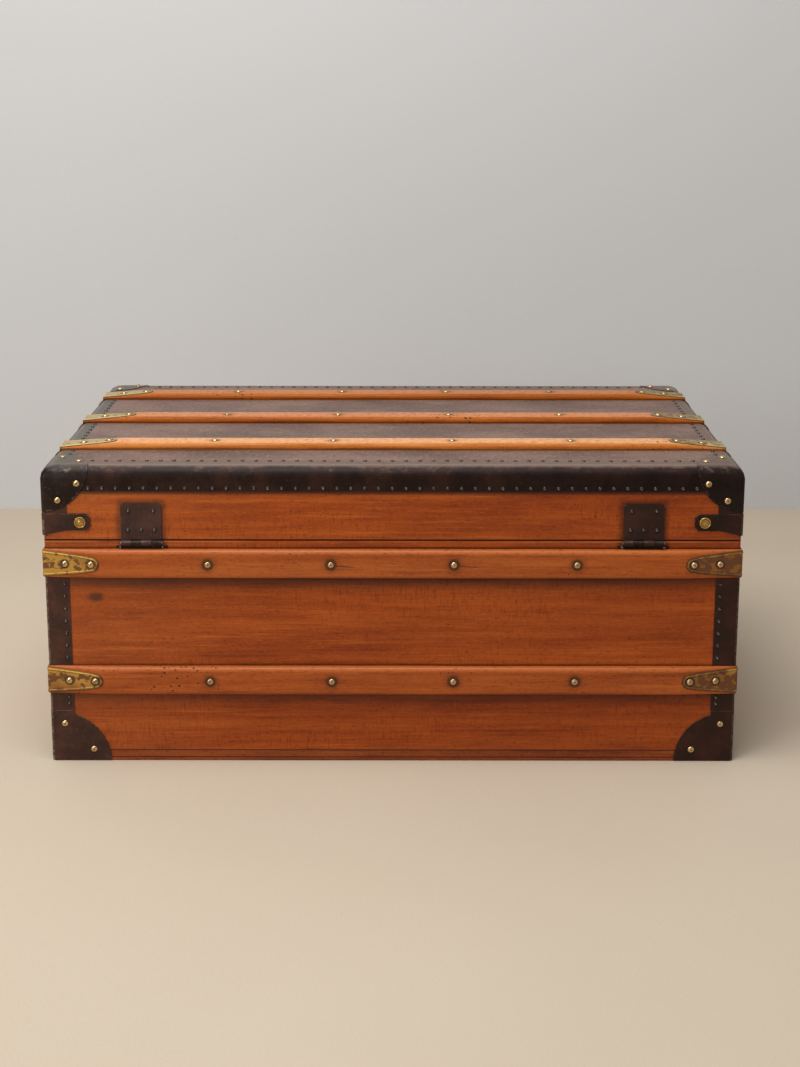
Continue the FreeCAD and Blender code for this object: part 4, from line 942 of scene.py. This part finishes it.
def steel(name):
    finish = Finish(name)
    fine = finish.noise((300, 900, 900))
    stained = finish.noise(60, 4.0, (1, 1, 1), 0.6).ease(0.5, 0.7)
    colour = finish.blend(stained, "8E8780", "5A4638")
    return finish.lay(colour, fine * 0.2 + 0.32, fine, 0.0001, 0.4, {"Metallic": 0.9 - stained * 0.5})


finish_node(steel("worn_steel"), "hinge_pins", "lock_bolt")
LEAF_T = 0.0020
LOWER_LEAF_RIVETS = 0.0320  # above the foot of the lower leaf


def leaf_rivets(level, places):
    """One row of rivets on both hinges."""
    return [((side * HINGE_MIDDLE + x, -board_y - LEAF_T, level), facing(1, -1))
            for side in (-1, 1) for x in places]


upper_rivets = leaf_rivets(HINGE_TOP - 0.0102, (-0.0160, 0.0160))
upper_rivets += leaf_rivets(HINGE_TOP - 0.0352, (-0.0170, 0.0, 0.0170))
lower_rivets = leaf_rivets(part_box("hinge_leaves_case")[0].z + LOWER_LEAF_RIVETS, (-0.0270, 0.0270))
hinge_rivet = turned("hinge_rivet", dome(0.0027, 0.0019, 5), 16)
set_heads("hinge_rivets_lid", "lid", "nails", hinge_rivet, upper_rivets, RIVET_IRON, 0.04, 0.05, 7)
set_heads("hinge_rivets_case", "case", "nails", hinge_rivet, lower_rivets, RIVET_IRON, 0.04, 0.05, 8)


# ------------------------------------------------------------------ nails and studs
# Brass-headed nails hold the slats, clamps, caps and shoes; a larger turned stud holds each
# strap. They keep the places of the plain heads that they stand for.
def head_spots(node):
    """Place, facing and foot radius of each separate head in a node."""
    form = bmesh.new()
    form.from_mesh(nodes[node].data)
    bmesh.ops.remove_doubles(form, verts=form.verts, dist=DOUBLES)
    left = set(form.verts)
    spots = []
    while left:
        island = [left.pop()]
        for vert in island:
            for edge in vert.link_edges:
                other = edge.other_vert(vert)
                if other in left:
                    left.remove(other)
                    island.append(other)
        flats = {}
        for face in {face for vert in island for face in vert.link_faces}:
            flats.setdefault(tuple(round(part, 2) for part in face.normal), []).append(face)
        foot = max(flats.values(), key=lambda flat: sum(face.calc_area() for face in flat))
        rim = {vert for face in foot for vert in face.verts}
        place = sum((vert.co for vert in rim), Vector()) / len(rim)
        radius = max((vert.co - place).length for vert in rim)
        spots.append((tuple(place), tuple(-foot[0].normal), radius))
    form.free()
    return sorted(spots)


def old_brass(name, bright, stain, struck):
    """Brass browned in places and in the rings of a turned head; a struck head has a painted dark reflection
    on its crown and painted shade on its dirty foot.
    """
    finish = Finish(name)
    crown = finish.carried("crown")
    fine = finish.noise(600)
    cloud = finish.noise(130, 3.0, (1, 4, 2))
    dirt_shade_and_reflection = cloud.ease(0.52, 0.68)
    if struck:
        # the nails near the corners and on the lid are handled most and stay brighter
        x, z = finish.axes()[::2]
        on_lid = z.ease(0.385, 0.395)
        handled = abs(x).ease(NAILS_END, NAILS_END + 0.015).most(on_lid)
        # painted reflection: the crown of a struck head darkened
        dirt_shade_and_reflection = dirt_shade_and_reflection.most((crown + (cloud - 0.5) * 0.2).ease(0.86, 0.98))
        # the foot of a struck head: dirty, deepened as painted shade
        foot = (crown + (cloud - 0.5) * 0.3 + handled * 0.2 + on_lid * 0.15).ease(0.66, 0.30)
        dirt_shade_and_reflection = dirt_shade_and_reflection.most(foot * 1.25).most((1.0 - handled) * 0.30)
    else:
        dirt_shade_and_reflection = dirt_shade_and_reflection.most(crown.ease(0.86, 0.74))
    colour = finish.blend(dirt_shade_and_reflection * 0.75, bright, stain)
    return finish.lay(colour, fine * 0.08 + dirt_shade_and_reflection * 0.15 + 0.15, fine, 0.0001, 0.3,
                      {"Metallic": 0.95 - dirt_shade_and_reflection * 0.3})


NAIL_BRASS = old_brass("nail_brass", "D8B684", "5E4024", True)
STUD_BRASS = old_brass("stud_brass", "C49A54", "5E3F1E", False)
NAIL_R = 0.0043
STUD_FOOT = 0.0062          # heads with a wider foot are studs
STUD_PROFILE = [(7.5, 0.0), (7.5, 1.2), (7.2, 1.8), (6.7, 2.1), (6.1, 2.0), (5.7, 1.4), (5.3, 1.3),
                (4.9, 1.55), (3.6, 1.75), (3.2, 1.75), (2.9, 1.6), (2.5, 1.6), (2.2, 1.8), (1.4, 1.9),
                (0.8, 2.1)]
nail = turned("nail", [(NAIL_R, -0.0003)] + dome(NAIL_R, 0.0024, 6, 0.10), 20)
stud = turned("stud", [(radius / 1000, height / 1000) for radius, height in STUD_PROFILE], 32)
for name, body, node, studs, head, material, spread, lean, seed in (
        ("nails_case", "case", "case_nails", False, nail, NAIL_BRASS, 0.03, 0.04, 11),
        ("nails_lid", "lid", "lid_nails", False, nail, NAIL_BRASS, 0.03, 0.04, 12),
        ("studs_lid", "lid", "lid_nails", True, stud, STUD_BRASS, 0.0, 0.02, 13)):
    heads = [spot[:2] for spot in head_spots(node) if (spot[2] >= STUD_FOOT) == studs]
    set_heads(name, body, "nails", head, heads, material, spread, lean, seed, node)


# ------------------------------------------------------------------ lock and catches
# A brass lock in the middle of the front and a catch near each end. Their plates are screwed
# to the case, and hasps turn on pins in the plates of the lid.
def handled_brass(name):
    """Brass worn bright along its edges and drawn with fine scratches, brown in soft patches."""
    finish = Finish(name)
    broad = finish.noise(38, 4.0, (3, 1, 2), 0.6)
    fine = finish.noise(420)
    drag = finish.noise((90, 90, 320), 3.0, (1, 0, 2), 0.6)
    brown = broad.ease(0.40, 0.66)
    colour = finish.blend(brown, "BE9448", "8C6432")
    colour = finish.paint(colour, ((broad + (fine - 0.5) * 0.2).ease(0.56, 0.66) * 0.7, "5E3C20"),
                          (drag.ease(0.58, 0.75) * 0.3, "D8B468"),
                          (finish.edge_wear(0.985, 0.86) * 0.7, "E0BE78"))
    return finish.lay(colour, fine * 0.12 + brown * 0.16 + 0.26, fine + drag, 0.0001, 0.3, {"Metallic": 0.85})


LOCK_BRASS = handled_brass("lock_brass")
for name, body in (("lock_case", "case"), ("catch_cases", "case"), ("hasp_plates", "lid"),
                   ("lock_hasp", "lock_hasp"), ("catch_hasp_left", "catch_hasp_left"),
                   ("catch_hasp_right", "catch_hasp_right")):
    eased_sheet(name + "_eased", body, name, "lock_brass", LOCK_BRASS, 0.0003)
finish_node(LOCK_BRASS, "catch_bolt_left", "catch_bolt_right")


def slotted(name, radius, height, slot):
    """A screw head in two halves with a floor between them."""
    form = bmesh.new()
    start = math.asin(slot / 2 / radius)
    solids = []
    for side in (-1, 1):
        half = []
        for out, level in ((radius, 0.0), (radius, height * 0.6), (radius * 0.86, height)):
            round_side = arc(out, start, math.pi - start, 10)
            half.append(ring_at(form, [(x, side * max(slot / 2, y)) for x, y in round_side], level))
        solids.append(half)
    solids.append([ring_at(form, circle(radius * 0.9, 16), level) for level in (0.0, height * 0.3)])
    for rings in solids:
        bridge(form, rings)
        form.faces.new(rings[-1])
        form.faces.new(rings[0])
    bmesh.ops.recalc_face_normals(form, faces=form.faces[:])
    return finished_mesh(form, name)


PLATE_T = 0.0015
SCREW_IN = (0.0064, 0.009)  # in from a side of the lock, and from its top or foot
PLATE_SCREW_DOWN = 0.0075
PLATE_SCREWS = (0.0150, 0.0085)
CATCH_HALF = 0.030
screw = slotted("screw", 0.0028, 0.0009, 0.0008)


def screw_spot(x, low_y, z, turn):
    """Place, facing and slot direction of a screw in a plate."""
    return (x, low_y + PLATE_T, z), facing(1), (math.cos(turn), 0, math.sin(turn))


lock_low, lock_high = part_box("lock_case")
lock_screws = [screw_spot(side * (lock_high.x - SCREW_IN[0]), lock_low.y, z, turn)
               for z, turns in ((lock_low.z + SCREW_IN[1], (0.4, 1.1)),
                                (lock_high.z - SCREW_IN[1], (2.0, 0.1)))
               for side, turn in zip((-1, 1), turns)]
set_heads("screws_lock", "case", "nails", screw, lock_screws, LOCK_BRASS, 0.02, 0.02, 21)
plates_low, plates_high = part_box("hasp_plates")
catch_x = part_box("catch_cases")[1].x - CATCH_HALF
plate_screws = [screw_spot(centre + side * apart, plates_low.y, plates_high.z - PLATE_SCREW_DOWN, turn + side)
                for centre, apart, turn in ((0.0, PLATE_SCREWS[0], 0.7), (-catch_x, PLATE_SCREWS[1], 1.9),
                                            (catch_x, PLATE_SCREWS[1], 0.3)) for side in (-1, 1)]
set_heads("screws_plates", "lid", "nails", screw, plate_screws, LOCK_BRASS, 0.02, 0.02, 22)


# ------------------------------------------------------------------ end handles
# A stitched leather grip hangs between two iron brackets on each end: folded leather, thick in
# the middle, with an eye at each end that turns on the bracket's pin.
def stitched_leather(name):
    finish = Finish(name)
    cells = finish.cells(700, "DISTANCE_TO_EDGE")
    crease = finish.noise((60, 240, 240), 4.0, (1, 2, 3), 0.6)
    colour = finish.blend(finish.noise(30, 3.0, (2, 0, 1)).ease(0.35, 0.65), "4A2816", "6E4124")
    colour = finish.paint(colour, (crease.ease(0.60, 0.72) * 0.5, "8E6440"))
    colour = finish.stain(colour, (cells.ease(0.12, 0.02) * 0.35, "5A4030"))
    return finish.lay(colour, crease * 0.2 + 0.38, cells.ease(0.0, 0.2) + crease * 0.8, 0.0003, 0.6)


def waxed_thread(name):
    finish = Finish(name)
    twist = finish.noise(900, 2.0)
    return finish.lay(finish.blend(twist, "A88A5C", "D6BE92"), twist * 0.2 + 0.6, twist, 0.0001, 0.5)


LEATHER = stitched_leather("handle_leather")
THREAD = waxed_thread("waxed_thread")
GRIP_HALF = 0.0117          # half the strap's width and thickness in the middle
GRIP_THICK = 0.0057
NECK_HALF = 0.0055          # and beside its eyes
NECK_THICK = 0.0044
NECK_DROP = 0.002
GRIP_STEPS = 40
GRIP_SIDES = 20
GRIP_TAPER = 1.6            # the strap keeps its width in the middle and narrows late
GRIP_HANG = 2.3             # it hangs nearly level and rises late
WIDE_ROUND = 0.62           # how square its section is, each way
DEEP_ROUND = 0.72
EYE_IN = 0.006              # from the strap's ends and top to the middle of an eye
EYE_R = 0.0059
EYE_BORE = 0.0026
EYE_HALF = 0.0057
EYE_EASE = 0.001
EYE_SIDES = 24
STITCH_PITCH = 0.0046
SEAM_AT = 0.70              # of the half width
SEAM_RISE = (1 - SEAM_AT ** 3.2) ** 0.36
stitch = turned("stitch", dome(0.0006, 0.0005, 2), 8)
stitch.data.transform(Matrix.Diagonal((2.6, 1.0, 1.0, 1.0)))


def grip_thickness(half):
    return NECK_THICK + (GRIP_THICK - NECK_THICK) * (half - NECK_HALF) / (GRIP_HALF - NECK_HALF)


def grip_route(span, low, eye_z):
    """Middle line of a hanging strap, as its y, its z and its half width there."""
    route = []
    for index in range(GRIP_STEPS + 1):
        part = 2 * index / GRIP_STEPS - 1
        half = GRIP_HALF - (GRIP_HALF - NECK_HALF) * abs(part) ** GRIP_TAPER
        rise = (eye_z - EYE_IN - low - GRIP_HALF) * abs(part) ** GRIP_HANG
        route.append((span * part, low + GRIP_HALF + 0.0002 + rise, half))
    necks = [(side * span, eye_z - NECK_DROP, route[0][2]) for side in (-1, 1)]
    return necks[:1] + route + necks[1:]


def bulged(turn, power):
    """A cosine drawn out towards a square."""
    return math.copysign(abs(math.cos(turn)) ** power, math.cos(turn))


def grip_form(route, centre_x, span, eye_z):
    """The strap, swept along its middle line, with its two eyes."""
    form = bmesh.new()
    sections = []
    for index, (y, z, half) in enumerate(route):
        before = Vector(route[max(index - 1, 0)][:2])
        after = Vector(route[min(index + 1, len(route) - 1)][:2])
        ahead = (after - before).normalized()
        section = []
        for corner in range(GRIP_SIDES):
            turn = 2 * math.pi * corner / GRIP_SIDES
            wide = bulged(turn, WIDE_ROUND) * half
            deep = bulged(turn - math.pi / 2, DEEP_ROUND) * grip_thickness(half)
            section.append(form.verts.new((centre_x + deep, y - ahead.y * wide, z + ahead.x * wide)))
        sections.append(section)
    bridge(form, sections)
    form.faces.new(sections[0])
    form.faces.new(sections[-1])
    half_eye = [(EYE_BORE, EYE_HALF), (EYE_R - EYE_EASE, EYE_HALF), (EYE_R, EYE_HALF - EYE_EASE)]
    for eye_y in (-span, span):
        rings = []
        for radius, reach in half_eye + [(radius, -reach) for radius, reach in reversed(half_eye)]:
            rings.append([form.verts.new((centre_x + x, eye_y + reach, eye_z + z))
                          for x, z in circle(radius, EYE_SIDES)])
        bridge(form, rings + rings[:1])
    bmesh.ops.recalc_face_normals(form, faces=form.faces[:])
    return form


def stitch_spots(route, centre_x, side):
    """Two seams of stitches along the outer face of a strap."""
    spots = []
    walked = 0.0
    for before, after in zip(route[3:-3], route[4:-2]):
        walked += math.dist(before[:2], after[:2])
        if walked < STITCH_PITCH:
            continue
        walked -= STITCH_PITCH
        ahead = Vector((0, after[0] - before[0], after[1] - before[1])).normalized()
        deep = grip_thickness(after[2]) * SEAM_RISE
        for edge in (-SEAM_AT, SEAM_AT):
            offset = Vector((0, -ahead.z, ahead.y)) * after[2] * edge
            place = Vector((centre_x + side * deep, after[0], after[1])) + offset
            spots.append((place, (side, 0, 0), tuple(ahead)))
    return spots


for name, side in (("handle_left", -1), ("handle_right", 1)):
    low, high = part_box(name)
    span, eye_z, centre_x = high.y - EYE_IN, high.z - EYE_IN, middle((low, high), 0)
    route = grip_route(span, low.z, eye_z)
    grip = finished_mesh(grip_form(route, centre_x, span, eye_z), name.replace("handle", "grip"), LEATHER)
    fitted(grip, name, "handle_leather", name)
    set_heads(name.replace("handle", "stitches"), name, "handle_leather", stitch,
              stitch_spots(route, centre_x, side), THREAD, 0.05, 0.0, 17)

FOOT_T = 0.0020
BRACKET_Y = 0.072
BRACKET_RIVET_IN = 0.0050
bracket_low, bracket_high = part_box("handle_brackets")
bracket_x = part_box("end_board_right")[1].x + FOOT_T
bracket_spots = [((side * bracket_x, face * BRACKET_Y, z), facing(0, side)) for side, face in CORNERS
                 for z in (bracket_low.z + BRACKET_RIVET_IN, bracket_high.z - BRACKET_RIVET_IN)]
finish_node(HINGE_IRON, "handle_brackets")
set_heads("bracket_rivets", "case", "nails", hinge_rivet, bracket_spots, RIVET_IRON, 0.04, 0.05, 19)
for pattern in (rivet, hinge_rivet, nail, stud, stitch, screw):
    bpy.data.objects.remove(pattern)


# ------------------------------------------------------------------ studio
# A plain pale floor with a pale cloth hung behind it, one broad soft lamp above and in front
# of the trunk and a weaker one to its left. The cloth shows from the front only.
def plain_ground(name, points, colour, second, scale, one_sided=False):
    """A flat sheet of the studio with its finish."""
    finish = Finish(name.replace("studio", "plain"))
    cloud = finish.noise(scale, 4.0, (1, 1, 1), 0.55)
    behind = finish.node("ShaderNodeNewGeometry", output="Backfacing") if one_sided else None
    material = finish.lay(finish.blend(cloud, colour, second), 0.9, finish.noise(300), 0.0008, 0.4,
                          hidden=behind)
    form = bmesh.new()
    form.faces.new([form.verts.new(point) for point in points])
    finished_mesh(form, name, material)


FLOOR_R = 4.0
CLOTH_X = 3.0
CLOTH_Y = 0.965
CLOTH_H = 2.6
plain_ground("studio_floor", [(x, y, 0.0) for x, y in circle(FLOOR_R, 48)], "BFAF99", "CBBCA7", 1.5)
plain_ground("studio_cloth", [(-CLOTH_X, CLOTH_Y, 0.0), (CLOTH_X, CLOTH_Y, 0.0), (CLOTH_X, CLOTH_Y, CLOTH_H),
                              (-CLOTH_X, CLOTH_Y, CLOTH_H)], "C6C6C6", "CFCFCE", 0.8, True)

world = bpy.data.worlds.new("studio_air")
bpy.context.scene.world = world
world.use_nodes = True
air = world.node_tree
air.nodes.clear()
sky = air.nodes.new("ShaderNodeBackground")
sky.inputs["Color"].default_value = (1.0, 1.0, 1.0, 1.0)
sky.inputs["Strength"].default_value = 0.39
air.links.new(sky.outputs[0], air.nodes.new("ShaderNodeOutputWorld").inputs["Surface"])


def soft_lamp(name, place, aim, size, power):
    lamp = bpy.data.lights.new(name, "AREA")
    lamp.shape = "RECTANGLE"
    lamp.size, lamp.size_y = size
    lamp.energy = power
    stand = bpy.data.objects.new(name, lamp)
    stand.location = place
    stand.rotation_euler = (Vector(aim) - Vector(place)).to_track_quat("-Z", "Y").to_euler()
    bpy.context.scene.collection.objects.link(stand)


soft_lamp("broad_lamp", (-0.55, -0.85, 2.7), (0.0, 0.0, 0.25), (2.0, 1.6), 62.0)
soft_lamp("fill_lamp", (-1.9, -2.3, 1.2), (0.0, -0.2, 0.25), (1.0, 1.0), 22.0)

# The camera stands in front of the hinge side, a little above the lid.
CAMERA_PLACE = (0.012006, -2.302909, 0.914454)
CAMERA_PITCH = 0.20696
CAMERA_YAW = 0.00122
CAMERA_ROLL = -0.00075
CAMERA_LENS = 55.67
CAMERA_SHIFT = -0.125
eye = bpy.data.cameras.new("camera")
eye.lens = CAMERA_LENS
eye.sensor_width = 36.0
eye.shift_y = CAMERA_SHIFT
camera = bpy.data.objects.new("camera", eye)
upright = Matrix.Rotation(math.pi / 2, 4, "X")
tilt = Matrix.Rotation(-CAMERA_PITCH, 4, "X")
turn = Matrix.Rotation(CAMERA_YAW, 4, "Z")
lean = Matrix.Rotation(CAMERA_ROLL, 4, "Y")
camera.matrix_world = Matrix.Translation(CAMERA_PLACE) @ turn @ tilt @ lean @ upright
bpy.context.scene.collection.objects.link(camera)
bpy.context.scene.camera = camera
bpy.context.scene.view_settings.view_transform = "Standard"
